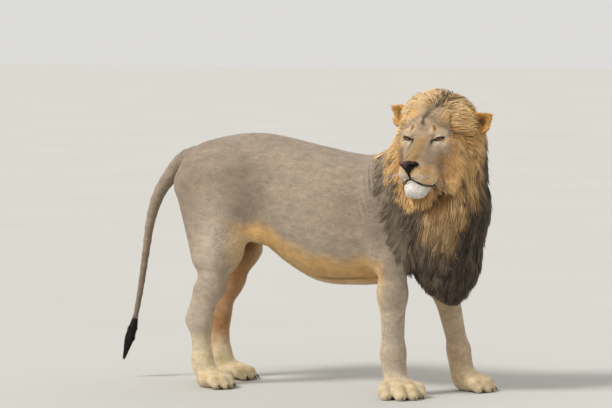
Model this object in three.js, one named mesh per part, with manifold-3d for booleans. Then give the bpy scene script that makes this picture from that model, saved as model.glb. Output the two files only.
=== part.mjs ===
// An adult male lion at life size, standing square on four paws with its head turned over its right shoulder.
// Millimetres, +Z up. The body runs along X with the chest towards +X, and the lion's own right side faces -Y.
// The flesh is one smooth distance field, made of a trunk and of limb, muscle and skull masses that melt into
// each other. It is meshed part by part, and thin plane cuts divide it where a person would name the parts.
import * as THREE from "three";
import { mergeVertices } from "three/addons/utils/BufferGeometryUtils.js";
import Module from "manifold-3d";

const wasm = await Module();
wasm.setup();

// ---- Driving dimensions ----
const WITHERS = 1050; // height over the shoulder blades
const CROUP = 1112; // height over the hips
const CHEST_FLOOR = 452; // lowest point of the belly line
const HALF_CHEST = 192; // half the width of the rib cage
const STANCE_FORE = 152; // forepaws' distance from the middle plane
const STANCE_HIND = 135; // hind paws' distance from the middle plane
const CUT = 0.3; // gap left by each cut between two named parts
const SOLE = 0; // all paws stand on this level
const PAD = 5; // how far each paw is pressed flat
const CLAW_SIZE = { radius: 5, length: 26, ahead: 20, height: 19, droop: 0.5 };
const NOSE = { top: -82, bottom: -132, half: 39, foot: 5, deep: 26, front: 146, lean: 0.12 };
const EAR = { x: -156, y: 186, z: 74, uneven: 14, turn: 0.45, lean: 0.95, deep: 28, wide: 50, tall: 62 };
const HEAD_BLOCK = { long: 420, back: 160, wide: 148, high: 196, middle: -66 }; // what the head keeps of the whole
const NECK = { from: [400, 0, 880], to: [597, -20, 1050], thick: 165, thin: 104 };

const CELL = { trunk: 70, head: 27, leg: 46, paw: 27, mane: 70 }; // size of a facet in each part

// ---- Small vector helpers, on plain [x, y, z] triples ----
const add = (a, b) => [a[0] + b[0], a[1] + b[1], a[2] + b[2]];
const sub = (a, b) => [a[0] - b[0], a[1] - b[1], a[2] - b[2]];
const scale = (a, s) => [a[0] * s, a[1] * s, a[2] * s];
const dot = (a, b) => a[0] * b[0] + a[1] * b[1] + a[2] * b[2];
const unit = (a) => scale(a, 1 / Math.hypot(...a));
const mix = (a, b, t) => a + (b - a) * t;
const clamp = (x, lo, hi) => Math.min(hi, Math.max(lo, x));

// ---- Distance fields: a function of x, y, z that is below zero inside ----
// A round-ended cone from a to b. flat squeezes it across the body, along Y.
function cone(a, b, ra, rb, flat = 1) {
  const d = sub(b, a);
  const long2 = dot(d, d);
  return (x, y, z) => {
    const p = [x - a[0], y - a[1], z - a[2]];
    const t = clamp(dot(p, d) / long2, 0, 1);
    const q = [p[0] - d[0] * t, (p[1] - d[1] * t) / flat, p[2] - d[2] * t];
    return (Math.hypot(q[0], q[1], q[2]) - mix(ra, rb, t)) * Math.min(1, (1 + flat) / 2);
  };
}

// An ellipsoid with half-sizes r, pitched about Y (nose up is positive) and yawed about Z, in degrees.
function egg(c, r, pitch = 0, yaw = 0) {
  const m = new THREE.Matrix4()
    .makeRotationZ(THREE.MathUtils.degToRad(yaw))
    .multiply(new THREE.Matrix4().makeRotationY(THREE.MathUtils.degToRad(-pitch)));
  const [xa, ya, za] = [new THREE.Vector3(), new THREE.Vector3(), new THREE.Vector3()];
  m.extractBasis(xa, ya, za);
  return (x, y, z) => {
    const [px, py, pz] = [x - c[0], y - c[1], z - c[2]];
    const u = (px * xa.x + py * xa.y + pz * xa.z) / r[0];
    const v = (px * ya.x + py * ya.y + pz * ya.z) / r[1];
    const w = (px * za.x + py * za.y + pz * za.z) / r[2];
    const k = Math.hypot(u, v, w);
    return (k * (k - 1)) / Math.max(1e-6, Math.hypot(u / r[0], v / r[1], w / r[2]));
  };
}

// Smooth union and smooth difference: the surfaces melt over the width k.
function blend(a, b, k) {
  const h = Math.max(k - Math.abs(a - b), 0) / k;
  return Math.min(a, b) - (h * h * k) / 4;
}
const melt = (k, ...fields) => (x, y, z) => fields.reduce((d, f) => blend(d, f(x, y, z), k), 1e6);
const hollow = (k, solid, tool) => (x, y, z) => -blend(-solid(x, y, z), tool(x, y, z), k);

// A smooth curve through [x, value] pairs, as a function of x.
function profile(pairs) {
  const slope = pairs.map((p, i) => {
    const [before, after] = [pairs[Math.max(0, i - 1)], pairs[Math.min(pairs.length - 1, i + 1)]];
    return (after[1] - before[1]) / (after[0] - before[0]);
  });
  return (x) => {
    const i = clamp(pairs.findIndex((p) => p[0] > x) - 1, 0, pairs.length - 2);
    const at = x >= pairs.at(-1)[0] ? pairs.length - 2 : i;
    const [[x0, y0], [x1, y1]] = [pairs[at], pairs[at + 1]];
    const w = x1 - x0;
    const t = clamp((x - x0) / w, 0, 1);
    const [t2, t3] = [t * t, t * t * t];
    return (2 * t3 - 3 * t2 + 1) * y0 + (t3 - 2 * t2 + t) * w * slope[at]
      + (3 * t2 - 2 * t3) * y1 + (t3 - t2) * w * slope[at + 1];
  };
}

// ---- Trunk: egg-shaped sections between the back line and the belly line ----
const REAR_END = -585;
const FRONT_END = 600;
const backLine = profile([
  [REAR_END, 985], [-509, 1056], [-413, 1087], [-319, 1106], [-240, CROUP], [-170, 1109], [-84, 1095],
  [10, 1074], [110, 1053], [205, 1034], [304, 1024], [390, WITHERS - 16], [480, WITHERS - 20], [FRONT_END, 960],
]);
const bellyLine = profile([
  [REAR_END, 850], [-500, 745], [-400, 690], [-300, 668], [-230, 643], [-149, 584], [-84, 536], [0, 488],
  [60, 464], [120, CHEST_FLOOR + 1], [200, CHEST_FLOOR], [300, CHEST_FLOOR + 4], [400, 470], [500, 540],
  [FRONT_END, 690],
]);
const sideLine = profile([
  [REAR_END, 74], [-500, 112], [-400, 142], [-300, 146], [-200, 140], [-100, 150], [0, 172], [100, 187],
  [220, HALF_CHEST], [320, HALF_CHEST - 4], [420, 178], [520, 154], [FRONT_END, 118],
]);

function trunkField(x, y, z) {
  const top = backLine(x);
  const floor = bellyLine(x);
  const high = (top - floor) / 2;
  const lift = (z - (top + floor) / 2) / high;
  const wide = sideLine(x) * (1 - 0.13 * clamp(lift, -1, 1));
  const k = Math.hypot(y / wide, lift);
  const section = (k * (k - 1)) / Math.max(1e-6, Math.hypot(y / (wide * wide), lift / high));
  const ends = Math.max(REAR_END + 40 - x, x - FRONT_END + 40);
  return -blend(-section, -ends, 90);
}

// ---- Legs: side is -1 for the lion's right and 1 for its left ----
const RIGHT = -1;
const LEFT = 1;

// The joints of a foreleg. The right one stands under the shoulder, turned out, and the left one a step ahead.
const FORE = {
  [RIGHT]: { shoulder: [528, -128, 800], elbow: [440, -160, 582], wrist: [443, -STANCE_FORE, 186], turn: -50,
    arm: 62, cuff: 50 },
  [LEFT]: { shoulder: [540, 128, 800], elbow: [540, 158, 596], wrist: [646, STANCE_FORE - 14, 172], turn: -8,
    arm: 62, cuff: 46 },
};
function forelegField(side) {
  const { shoulder, elbow, wrist, arm, cuff } = FORE[side];
  const mid = [mix(elbow[0], wrist[0], 0.36), mix(elbow[1], wrist[1], 0.36), mix(elbow[2], wrist[2], 0.36)];
  const olecranon = add(elbow, [-38, side * 4, 26]);
  const paw = add(wrist, [8, 0, -110]);
  return melt(46,
    egg([430, side * 108, 905], [92, 62, 170], -22), // shoulder blade
    cone(shoulder, elbow, 92, 70, 0.72), // upper arm
    cone([425, side * 138, 850], olecranon, 74, 36, 0.62), // triceps
    cone(elbow, mid, 68, arm, 0.86), // forearm muscle
    cone(mid, wrist, arm, cuff, 0.92),
    cone(wrist, paw, cuff, cuff - 2, 1),
  );
}

// The joints of a hind leg.
const HIND = {
  [RIGHT]: { knee: [-346, -142, 604], hock: [-452, -STANCE_HIND, 290], foot: [-441, -STANCE_HIND, 92], turn: -20 },
  [LEFT]: { knee: [-366, 140, 598], hock: [-472, STANCE_HIND, 286], foot: [-463, STANCE_HIND, 92], turn: 2 },
};
function hindlegField(side) {
  const { knee, hock, foot } = HIND[side];
  const hip = [-420, side * 98, 888];
  const seat = [-528, side * 72, 880];
  const calf = [mix(knee[0], hock[0], 0.5) + 2, mix(knee[1], hock[1], 0.5), mix(knee[2], hock[2], 0.5)];
  return melt(48,
    egg([-395, side * 86, 950], [150, 84, 128], 18), // rump muscle
    cone(hip, knee, 150, 92, 0.62), // thigh
    cone(seat, add(knee, [-84, 0, -40]), 66, 62, 0.8), // hamstrings
    cone(add(knee, [78, side * -18, 66]), add(knee, [176, side * -52, 40]), 36, 14, 0.6), // flank fold
    cone(knee, calf, 86, 58, 0.72), // shin muscle
    cone(calf, hock, 58, 46, 0.72),
    cone(add(hock, [-4, 0, 130]), add(hock, [-40, 0, 6]), 24, 25, 0.8), // heel tendon and point of hock
    cone(hock, foot, 50, 46, 0.86), // long bones of the foot
  );
}

// A paw in its own frame: origin on the floor below the limb's end, x towards the toes.
const PAW = {
  fore: { rise: 120, reach: 84, toes: [[104, -57], [130, -20], [130, 20], [104, 57]], toe: 27, wide: 62, high: 46 },
  planted: { rise: 120, reach: 88, toes: [[96, -76], [134, -27], [134, 27], [96, 76]], toe: 31, wide: 76, high: 48 },
  hind: { rise: 120, reach: 84, toes: [[118, -48], [142, -17], [142, 17], [118, 48]], toe: 24, wide: 54, high: 44 },
};
const PAW_KIND = { forepaw_right: "planted", forepaw_left: "fore", hindpaw_right: "hind", hindpaw_left: "hind" };
function pawField({ rise, reach, toes, toe, wide, high }) {
  const palm = melt(30,
    cone([0, 0, rise], [26, 0, 62], 46, 44, 1),
    egg([48, 0, high - 4], [reach - 12, wide, high], 6),
  );
  const digits = toes.map(([x, y]) =>
    melt(10,
      cone([x - 52, y * 0.72, 52], [x - 14, y, 40], toe, toe + 1),
      cone([x - 14, y, 38], [x + 4, y * 1.04, 24], toe - 1, toe - 4),
    ));
  return melt(13, palm, ...digits);
}

// A frame that stands at a point on the floor and is turned about Z, in degrees.
function standing([x, y, z], turn) {
  return new THREE.Matrix4()
    .makeTranslation(x, y, z)
    .multiply(new THREE.Matrix4().makeRotationZ(THREE.MathUtils.degToRad(turn)));
}
// A field given in that frame, read in the lion's frame.
function placed(field, matrix) {
  const e = matrix.clone().invert().elements;
  return (x, y, z) => field(
    e[0] * x + e[4] * y + e[8] * z + e[12],
    e[1] * x + e[5] * y + e[9] * z + e[13],
    e[2] * x + e[6] * y + e[10] * z + e[14],
  );
}

const pawFrames = {
  forepaw_right: standing([FORE[RIGHT].wrist[0] + 6, FORE[RIGHT].wrist[1], SOLE - PAD], FORE[RIGHT].turn),
  forepaw_left: standing([FORE[LEFT].wrist[0] + 12, FORE[LEFT].wrist[1], SOLE - PAD], FORE[LEFT].turn),
  hindpaw_right: standing([HIND[RIGHT].foot[0], HIND[RIGHT].foot[1], SOLE - PAD], HIND[RIGHT].turn),
  hindpaw_left: standing([HIND[LEFT].foot[0], HIND[LEFT].foot[1], SOLE - PAD], HIND[LEFT].turn),
};
const pawFields = Object.fromEntries(Object.entries(pawFrames).map(([name, frame]) =>
  [name, placed(pawField(PAW[PAW_KIND[name]]), frame)]));

// ---- Head, in its own frame: origin between the eyeballs, x forward, y to the lion's left ----
const HEAD_AT = [586, -172, 1104];
const HEAD_YAW = -97; // turned over the right shoulder
const headFrame = standing(HEAD_AT, HEAD_YAW);

const EYE = { x: 0, y: 73, z: 2, r: 20 };
const bothSides = (field) => (x, y, z) => field(x, Math.abs(y), z);
const skull = melt(30,
  egg([-104, 0, 4], [112, 110, 104], 20), // brain case
  egg([-46, 0, 40], [76, 92, 48], 36), // forehead
  bothSides(egg([-26, 74, 6], [34, 40, 38])), // rim of the eye socket
  bothSides(egg([-62, 92, -42], [74, 46, 58])), // cheek bones
  bothSides(egg([-66, 90, -116], [78, 52, 76])), // jaw muscles
  cone([-36, 0, -14], [96, 0, -108], 60, 40, 1.02), // nose bridge
  bothSides(egg([-6, 52, -72], [62, 38, 52])), // side of the muzzle below the eye
);
const muzzle = melt(18,
  cone([0, 0, -112], [84, 0, -118], 80, 47, 1.04),
  bothSides(egg([86, 31, -131], [46, 34, 37], -6)), // whisker pads
  bothSides(egg([26, 52, -158], [62, 34, 38], 8)), // corners of the lips
  egg([54, 0, -172], [56, 54, 34]), // lips
  cone([-60, 0, -166], [60, 0, -204], 66, 40, 1.2), // lower jaw
  egg([78, 0, -210], [34, 46, 36]), // chin
);
const headLocal = melt(22, skull, muzzle);
const headField = placed(headLocal, headFrame);
const inHead = (p) => new THREE.Vector3(...p).applyMatrix4(headFrame).toArray();

// ---- Neck and the whole flesh ----
const neckField = melt(60,
  cone([405, 0, 850], inHead([-150, 0, -40]), 176, 112, 0.92),
  cone([480, 0, 760], inHead([-120, 0, -90]), 150, 96, 0.92),
);
const bodyField = melt(58, trunkField, neckField, headField, melt(40, forelegField(RIGHT)),
  melt(40, forelegField(LEFT)), melt(40, hindlegField(RIGHT)), melt(40, hindlegField(LEFT)));

// ---- Tail: a tapering rope on one smooth curve, and a tuft of black hair at its tip ----
const TAIL_PATH = [
  [-462, 0, 1000], [-545, 0, 998], [-606, 0, 962], [-655, -2, 903], [-706, -4, 831], [-745, -6, 711],
  [-763, -6, 591], [-782, -4, 472], [-803, -2, 353], [-827, 0, 249], [-854, 4, 172], [-874, 8, 112],
];
const TAIL_RADII = profile([[0, 54], [0.1, 48], [0.2, 38], [0.32, 31], [0.45, 24], [0.6, 20], [0.78, 17], [0.84, 17],
  [0.92, 30], [0.98, 21], [1, 12]]);
const TUFT_FROM = 0.83;
const tailCurve = new THREE.CatmullRomCurve3(TAIL_PATH.map((p) => new THREE.Vector3(...p)));
const TAIL_ROOT_AT = 0.05; // how far up the curve the tail is set into the rump
const scrotum = egg([-538, 0, 776], [44, 40, 50]);
const fleshField = melt(30, bodyField, scrotum);

// ---- Mane: the outer shape of the hair, tips included ----
const crownAndRuff = placed(melt(50,
  egg([-146, 4, 84], [104, 152, 128], 8), // crown between the ears
  egg([-128, 0, -50], [104, 188, 172]), // ruff round the face
  cone([-72, 0, -210], [-62, 0, -330], 126, 108), // beard
), headFrame);
const neckMane = melt(90,
  crownAndRuff,
  cone([618, 10, 1060], [624, 0, 800], 188, 184, 1), // neck
  cone([630, 0, 780], [650, 0, 560], 180, 128, 0.98), // chest
  cone([648, 0, 560], [664, 0, 448], 118, 62, 0.9), // hanging lock between the forelegs
  cone([560, -70, 620], [586, -66, 486], 90, 42), // lock in front of the right arm
  egg([470, 0, 905], [96, 206, 160], -14), // over the withers and shoulders
);
// The face stays clear of the mane: an oval clearing that opens forwards.
const clearing = placed(melt(40,
  egg([44, 0, -58], [128, 128, 170], -6),
  egg([130, 0, -70], [150, 160, 200]),
), headFrame);
const maneField = hollow(26, neckMane, clearing);
const wholeField = melt(20, fleshField, maneField);

// ---- Meshing: surface nets on a grid, with each vertex then moved onto the surface ----
function meshed(field, low, high, cell) {
  const n = [0, 1, 2].map((i) => Math.ceil((high[i] - low[i]) / cell) + 1);
  const at = (i, j, k) => i + n[0] * (j + n[1] * k);
  const bounded = (x, y, z) => Math.max(field(x, y, z), low[0] + cell - x, x - high[0] + cell,
    low[1] + cell - y, y - high[1] + cell, low[2] + cell - z, z - high[2] + cell);
  const value = new Float64Array(n[0] * n[1] * n[2]);
  for (let k = 0; k < n[2]; k++)
    for (let j = 0; j < n[1]; j++)
      for (let i = 0; i < n[0]; i++)
        value[at(i, j, k)] = bounded(low[0] + i * cell, low[1] + j * cell, low[2] + k * cell);
  joinAcross(value, n, at);
  const points = [];
  const cellVertex = new Map();
  const corners = [0, 1, 2, 3, 4, 5, 6, 7].map((c) => [c & 1, (c >> 1) & 1, c >> 2]);
  for (let k = 0; k + 1 < n[2]; k++)
    for (let j = 0; j + 1 < n[1]; j++)
      for (let i = 0; i + 1 < n[0]; i++) {
        const v = corners.map(([a, b, c]) => value[at(i + a, j + b, k + c)]);
        const inside = v.filter((d) => d < 0).length;
        if (inside === 0 || inside === 8) continue;
        let sum = [0, 0, 0];
        let count = 0;
        for (let c = 0; c < 8; c++)
          for (const bit of [1, 2, 4]) {
            const d = c | bit;
            if (d === c || v[c] < 0 === v[d] < 0) continue;
            const t = v[c] / (v[c] - v[d]);
            sum = add(sum, [0, 1, 2].map((m) => mix(corners[c][m], corners[d][m], t)));
            count++;
          }
        cellVertex.set(at(i, j, k), points.length);
        points.push([0, 1, 2].map((m) => low[m] + ([i, j, k][m] + sum[m] / count) * cell));
      }
  const settled = points.map((p) => settle(bounded, p, cell));
  const faces = [];
  const diagonals = new Set(); // no two squares are split along the same line
  const line = (p, q) => `${Math.min(p, q)} ${Math.max(p, q)}`;
  const steps = [[1, 0, 0], [0, 1, 0], [0, 0, 1]];
  for (let k = 1; k + 1 < n[2]; k++)
    for (let j = 1; j + 1 < n[1]; j++)
      for (let i = 1; i + 1 < n[0]; i++)
        for (let m = 0; m < 3; m++) {
          const [di, dj, dk] = steps[m];
          const [a, b] = [value[at(i, j, k)] < 0, value[at(i + di, j + dj, k + dk)] < 0];
          if (a === b) continue;
          const [s, t] = [steps[(m + 1) % 3], steps[(m + 2) % 3]];
          const ring = [[0, 0], [1, 0], [1, 1], [0, 1]].map(([p, q]) => cellVertex.get(
            at(i - p * s[0] - q * t[0], j - p * s[1] - q * t[1], k - p * s[2] - q * t[2])));
          if (!a) ring.reverse();
          const far = (p, q) => Math.hypot(...sub(settled[ring[p]], settled[ring[q]]));
          const [first, second] = [line(ring[0], ring[2]), line(ring[1], ring[3])];
          const alongFirst = diagonals.has(second) || (!diagonals.has(first) && far(0, 2) < far(1, 3));
          diagonals.add(alongFirst ? first : second);
          const pick = alongFirst ? [0, 1, 2, 0, 2, 3] : [0, 1, 3, 1, 2, 3];
          faces.push(...pick.map((q) => ring[q]));
        }
  return new wasm.Manifold(new wasm.Mesh({
    numProp: 3,
    vertProperties: new Float32Array(settled.flat()),
    triVerts: new Uint32Array(faces),
  }));
}

// Where only two opposite corners of a grid square are inside, a third is taken in, so that no edge is pinched.
function joinAcross(value, n, at) {
  const squares = [[[1, 0, 0], [0, 1, 0]], [[0, 1, 0], [0, 0, 1]], [[0, 0, 1], [1, 0, 0]]];
  let found = true;
  while (found) {
    found = false;
    for (let k = 0; k + 1 < n[2]; k++)
      for (let j = 0; j + 1 < n[1]; j++)
        for (let i = 0; i + 1 < n[0]; i++)
          for (const [s, t] of squares) {
            const corner = (p, q) => at(i + p * s[0] + q * t[0], j + p * s[1] + q * t[1], k + p * s[2] + q * t[2]);
            const ring = [corner(0, 0), corner(1, 0), corner(1, 1), corner(0, 1)];
            const [a, b, c, d] = ring.map((g) => value[g] < 0);
            if (a !== c || b !== d || a === b) continue;
            const outside = a ? [ring[1], ring[3]] : [ring[0], ring[2]];
            value[value[outside[0]] < value[outside[1]] ? outside[0] : outside[1]] = -1e-3;
            found = true;
          }
  }
}

// A point moved along the field's slope until the field is zero there.
function settle(field, start, cell) {
  let p = start;
  const e = cell * 0.05;
  for (let round = 0; round < 4; round++) {
    const d = field(...p);
    const g = [field(p[0] + e, p[1], p[2]) - d, field(p[0], p[1] + e, p[2]) - d,
      field(p[0], p[1], p[2] + e) - d].map((c) => c / e);
    const g2 = Math.max(0.05, dot(g, g));
    const step = scale(g, clamp(d / g2, -cell * 0.3, cell * 0.3));
    p = sub(p, step);
  }
  return p;
}

// ---- Cutting ----
const FAR = 3000;
// A box that fills the side of a plane that its normal points to. back moves its face away from the plane.
function side(point, normal, back = 0) {
  const n = new THREE.Vector3(...unit(normal));
  const turn = new THREE.Quaternion().setFromUnitVectors(new THREE.Vector3(0, 0, 1), n);
  const box = new THREE.BoxGeometry(2 * FAR, 2 * FAR, FAR).translate(0, 0, FAR / 2 + back)
    .applyQuaternion(turn).translate(...point);
  return solidOf(box);
}
function solidOf(geometry) {
  const bare = geometry.clone();
  bare.deleteAttribute("normal");
  bare.deleteAttribute("uv");
  const merged = mergeVertices(bare, 1e-4);
  return new wasm.Manifold(new wasm.Mesh({
    numProp: 3,
    vertProperties: new Float32Array(merged.attributes.position.array),
    triVerts: new Uint32Array(merged.index.array),
  }));
}
// The part of a solid on the side of each cut that its normal points to.
const within = (solid, ...cuts) => cuts.reduce((s, [p, n]) => s.intersect(side(p, n, CUT / 2)), solid);
// The part of a solid that is left when the region within those cuts is taken away.
function without(solid, ...cuts) {
  const region = cuts.map(([p, n]) => side(p, n, -CUT / 2)).reduce((a, b) => a.intersect(b));
  return solid.subtract(region);
}
const flip = ([p, n]) => [p, scale(n, -1)];
const largest = (solid) => solid.decompose().sort((a, b) => b.volume() - a.volume())[0];

// The cut planes: a point, and the direction of the part that is named.
const MANE_EDGE = [[380, 0, 1060], [0.9735, 0, 0.2287]];
const SHOULDER = {
  [RIGHT]: [[[430, -110, 760], [0, -0.78, -0.62]], [[0, -62, 0], [0, -1, 0]], [[350, 0, 0], [1, 0, 0]],
    [MANE_EDGE[0], scale(MANE_EDGE[1], -1)]],
  [LEFT]: [[[430, 110, 760], [0, 0.78, -0.62]], [[0, 62, 0], [0, 1, 0]], [[430, 0, 560], [0.95, 0, -0.3]],
    [[560, 0, 600], [-0.5, 0, -0.866]]],
};
const THIGH = (s) => [[[-420, s * 66, 826], [0, s * 0.72, -0.69]], [[0, 0, 0], [0, s, 0]],
  [[-215, 0, 650], [-0.95, 0, 0.3]]];
const CUFF = (wrist) => [[wrist[0], wrist[1], 108], [0, 0, -1]];
const FOOT = (foot) => [[foot[0], foot[1], 104], [0, 0, -1]];
const inHeadDirection = (d) => sub(inHead(d), inHead([0, 0, 0]));
const CROWN_CUT = [inHead([0, 0, 8]), inHeadDirection([0.1, 0, 1])];
const CHEST_CUT = [[640, 0, 690], [0.55, 0, -0.83]];
const MANE_PARTING = -30; // where the right and left mane meet
const LIPS = [inHead([66, 0, -188]), inHeadDirection([0.15, 0, -1])];
const JAW_ANGLE = [inHead([-24, 0, -196]), inHeadDirection([1, 0, -0.2])];

// ---- Materials ----
const paint = (color, roughness) => new THREE.MeshStandardMaterial({ color, roughness, metalness: 0 });
const COAT = paint(0x9c8a70, 0.85);
const FACE = paint(0xb09468, 0.85);
const GOLD_MANE = paint(0xc39a5c, 0.8);
const DARK_MANE = paint(0x3d352c, 0.8);
const TUFT = paint(0x17150f, 0.8);
const NOSE_SKIN = paint(0x241c1a, 0.45);
const IRIS = paint(0xa8792c, 0.1);
const CLAW = paint(0x4a4038, 0.4);

const lion = new THREE.Group();
const WELD = 0.02; // corners closer than this become one
// The triangles of a solid with its closest corners joined, and with the slivers that this flattens left out.
function welded(solid) {
  const { numProp, numVert, vertProperties, triVerts } = solid.getMesh();
  const seen = new Map();
  const points = [];
  const corner = Array.from({ length: numVert }, (_, i) => {
    const p = vertProperties.subarray(i * numProp, i * numProp + 3);
    const key = Array.from(p, (c) => Math.round(c / WELD)).join();
    if (!seen.has(key)) seen.set(key, points.push(...p) / 3 - 1);
    return seen.get(key);
  });
  const kept = new Map();
  for (let i = 0; i < triVerts.length; i += 3) {
    const face = [corner[triVerts[i]], corner[triVerts[i + 1]], corner[triVerts[i + 2]]];
    if (new Set(face).size < 3) continue;
    const key = [...face].sort((a, b) => a - b).join();
    if (kept.has(key)) kept.delete(key);
    else kept.set(key, face);
  }
  return new THREE.BufferGeometry()
    .setAttribute("position", new THREE.BufferAttribute(new Float32Array(points), 3))
    .setIndex([...kept.values()].flat());
}
function part(name, solid, material) {
  const mesh = new THREE.Mesh(welded(solid), material);
  mesh.geometry.computeVertexNormals();
  mesh.name = name;
  lion.add(mesh);
}

// ---- Tail: rings of facets along the curve, closed by a flat end at each cut ----
const TAIL_SIDES = 10;
const TAIL_MIDDLE = 0.52;
function tailLength(from, to, rings, swell = 0) {
  const points = [];
  for (let i = 0; i <= rings; i++) {
    const t = mix(from, to, i / rings);
    const centre = tailCurve.getPointAt(t);
    const along = tailCurve.getTangentAt(t);
    const across = new THREE.Vector3(0, 1, 0).cross(along).normalize();
    const beside = along.clone().cross(across);
    const radius = TAIL_RADII(t) + swell;
    for (let k = 0; k < TAIL_SIDES; k++) {
      const turn = (k / TAIL_SIDES) * 2 * Math.PI;
      points.push(centre.clone().addScaledVector(across, radius * Math.cos(turn))
        .addScaledVector(beside, radius * Math.sin(turn)));
    }
  }
  const faces = [];
  for (let i = 0; i < rings; i++)
    for (let k = 0; k < TAIL_SIDES; k++) {
      const [a, b] = [i * TAIL_SIDES + k, i * TAIL_SIDES + ((k + 1) % TAIL_SIDES)];
      const [c, d] = [a + TAIL_SIDES, b + TAIL_SIDES];
      faces.push(a, b, d, a, d, c);
    }
  const last = rings * TAIL_SIDES;
  for (let k = 1; k + 1 < TAIL_SIDES; k++) {
    faces.push(0, k + 1, k);
    faces.push(last, last + k, last + k + 1);
  }
  return new wasm.Manifold(new wasm.Mesh({
    numProp: 3,
    vertProperties: new Float32Array(points.flatMap((p) => p.toArray())),
    triVerts: new Uint32Array(faces),
  }));
}

// ---- Trunk and legs ----
const sides = [["right", RIGHT], ["left", LEFT]];
const wholeTrunk = meshed(fleshField, [-720, -300, 380], [640, 300, 1200], CELL.trunk);
let trunk = without(wholeTrunk, MANE_EDGE);
for (const [, s] of sides) trunk = without(without(trunk, ...SHOULDER[s]), ...THIGH(s));
part("trunk", largest(trunk.subtract(tailLength(TAIL_ROOT_AT, TAIL_MIDDLE, 9, CUT))), COAT);

for (const [word, s] of sides) {
  const fore = FORE[s];
  const foreRegion = s < 0 ? [[280, -330, 0], [760, 60, 1000]] : [[280, -60, 0], [860, 330, 1000]];
  const foreSolid = meshed(melt(24, fleshField, pawFields[`forepaw_${word}`]), ...foreRegion, CELL.leg);
  part(`foreleg_${word}`, largest(within(foreSolid, ...SHOULDER[s], flip(CUFF(fore.wrist)))), COAT);
  const hind = HIND[s];
  const hindRegion = s < 0 ? [[-700, -330, 0], [-20, 60, 1080]] : [[-700, -60, 0], [-20, 330, 1080]];
  const hindSolid = meshed(melt(24, fleshField, pawFields[`hindpaw_${word}`]), ...hindRegion, CELL.leg);
  part(`hindleg_${word}`, largest(within(hindSolid, ...THIGH(s), flip(FOOT(hind.foot)))), COAT);
}

// ---- Paws, flat under the sole, and their claws ----
function clawSolid(frame, x, y, swell) {
  const claw = new THREE.ConeGeometry(CLAW_SIZE.radius + swell, CLAW_SIZE.length + 2 * swell, 6)
    .rotateZ(-Math.PI / 2 - CLAW_SIZE.droop)
    .translate(x + CLAW_SIZE.ahead, y * 1.06, CLAW_SIZE.height)
    .applyMatrix4(frame);
  return solidOf(claw);
}
for (const [name, frame] of Object.entries(pawFrames)) {
  const [word, end] = name.split("_");
  const s = end === "right" ? RIGHT : LEFT;
  const fore = word === "forepaw";
  const [cut, limb] = fore ? [CUFF(FORE[s].wrist), forelegField(s)] : [FOOT(HIND[s].foot), hindlegField(s)];
  const field = melt(24, pawFields[name], limb);
  const c = new THREE.Vector3(60, 0, 0).applyMatrix4(frame);
  const solid = meshed(field, [c.x - 170, c.y - 170, -60], [c.x + 170, c.y + 170, 190], CELL.paw);
  let paw = within(solid, cut, [[0, 0, SOLE - CUT / 2], [0, 0, 1]]);
  PAW[PAW_KIND[name]].toes.forEach(([x, y], i) => {
    paw = paw.subtract(clawSolid(frame, x, y, CUT));
    part(`claw_${word}_${end}_${i + 1}`, clawSolid(frame, x, y, 0), CLAW);
  });
  part(name, largest(paw), COAT);
}

// ---- Head: its hidden back is a plain oval block inside the mane ----
function headBlock(gap) {
  const block = new THREE.CylinderGeometry(1, 1, 1, 26).rotateZ(Math.PI / 2)
    .scale(HEAD_BLOCK.long, HEAD_BLOCK.wide + gap, HEAD_BLOCK.high + gap)
    .translate(HEAD_BLOCK.long / 2 - HEAD_BLOCK.back - gap, 0, HEAD_BLOCK.middle);
  return solidOf(block.applyMatrix4(headFrame));
}
const eyeball = (s, r) => solidOf(new THREE.SphereGeometry(r, 10, 7).rotateX(Math.PI / 2)
  .translate(EYE.x, s * EYE.y, EYE.z).applyMatrix4(headFrame));

// The nose pad: a blunt shield, wide over the nostrils and narrow at the lip.
function noseSolid(gap) {
  const outline = new THREE.Shape()
    .moveTo(0, NOSE.top)
    .bezierCurveTo(NOSE.half * 0.6, NOSE.top + 3, NOSE.half, NOSE.top - 2, NOSE.half, NOSE.top - 16)
    .bezierCurveTo(NOSE.half, NOSE.top - 32, NOSE.half * 0.3, NOSE.top - 30, NOSE.foot, NOSE.bottom)
    .lineTo(-NOSE.foot, NOSE.bottom)
    .bezierCurveTo(-NOSE.half * 0.3, NOSE.top - 30, -NOSE.half, NOSE.top - 32, -NOSE.half, NOSE.top - 16)
    .bezierCurveTo(-NOSE.half, NOSE.top - 2, -NOSE.half * 0.6, NOSE.top + 3, 0, NOSE.top);
  const round = { depth: NOSE.deep, curveSegments: 3, bevelThickness: 7, bevelSize: 3 + gap, bevelSegments: 2 };
  const pad = new THREE.ExtrudeGeometry(outline, round)
    .applyMatrix4(new THREE.Matrix4().makeBasis(new THREE.Vector3(0, 1, 0), new THREE.Vector3(0, 0, 1),
      new THREE.Vector3(1, 0, 0)))
    .applyMatrix4(new THREE.Matrix4().makeRotationY(NOSE.lean))
    .translate(NOSE.front - NOSE.deep - gap, 0, 0);
  return solidOf(pad.applyMatrix4(headFrame));
}

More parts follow.
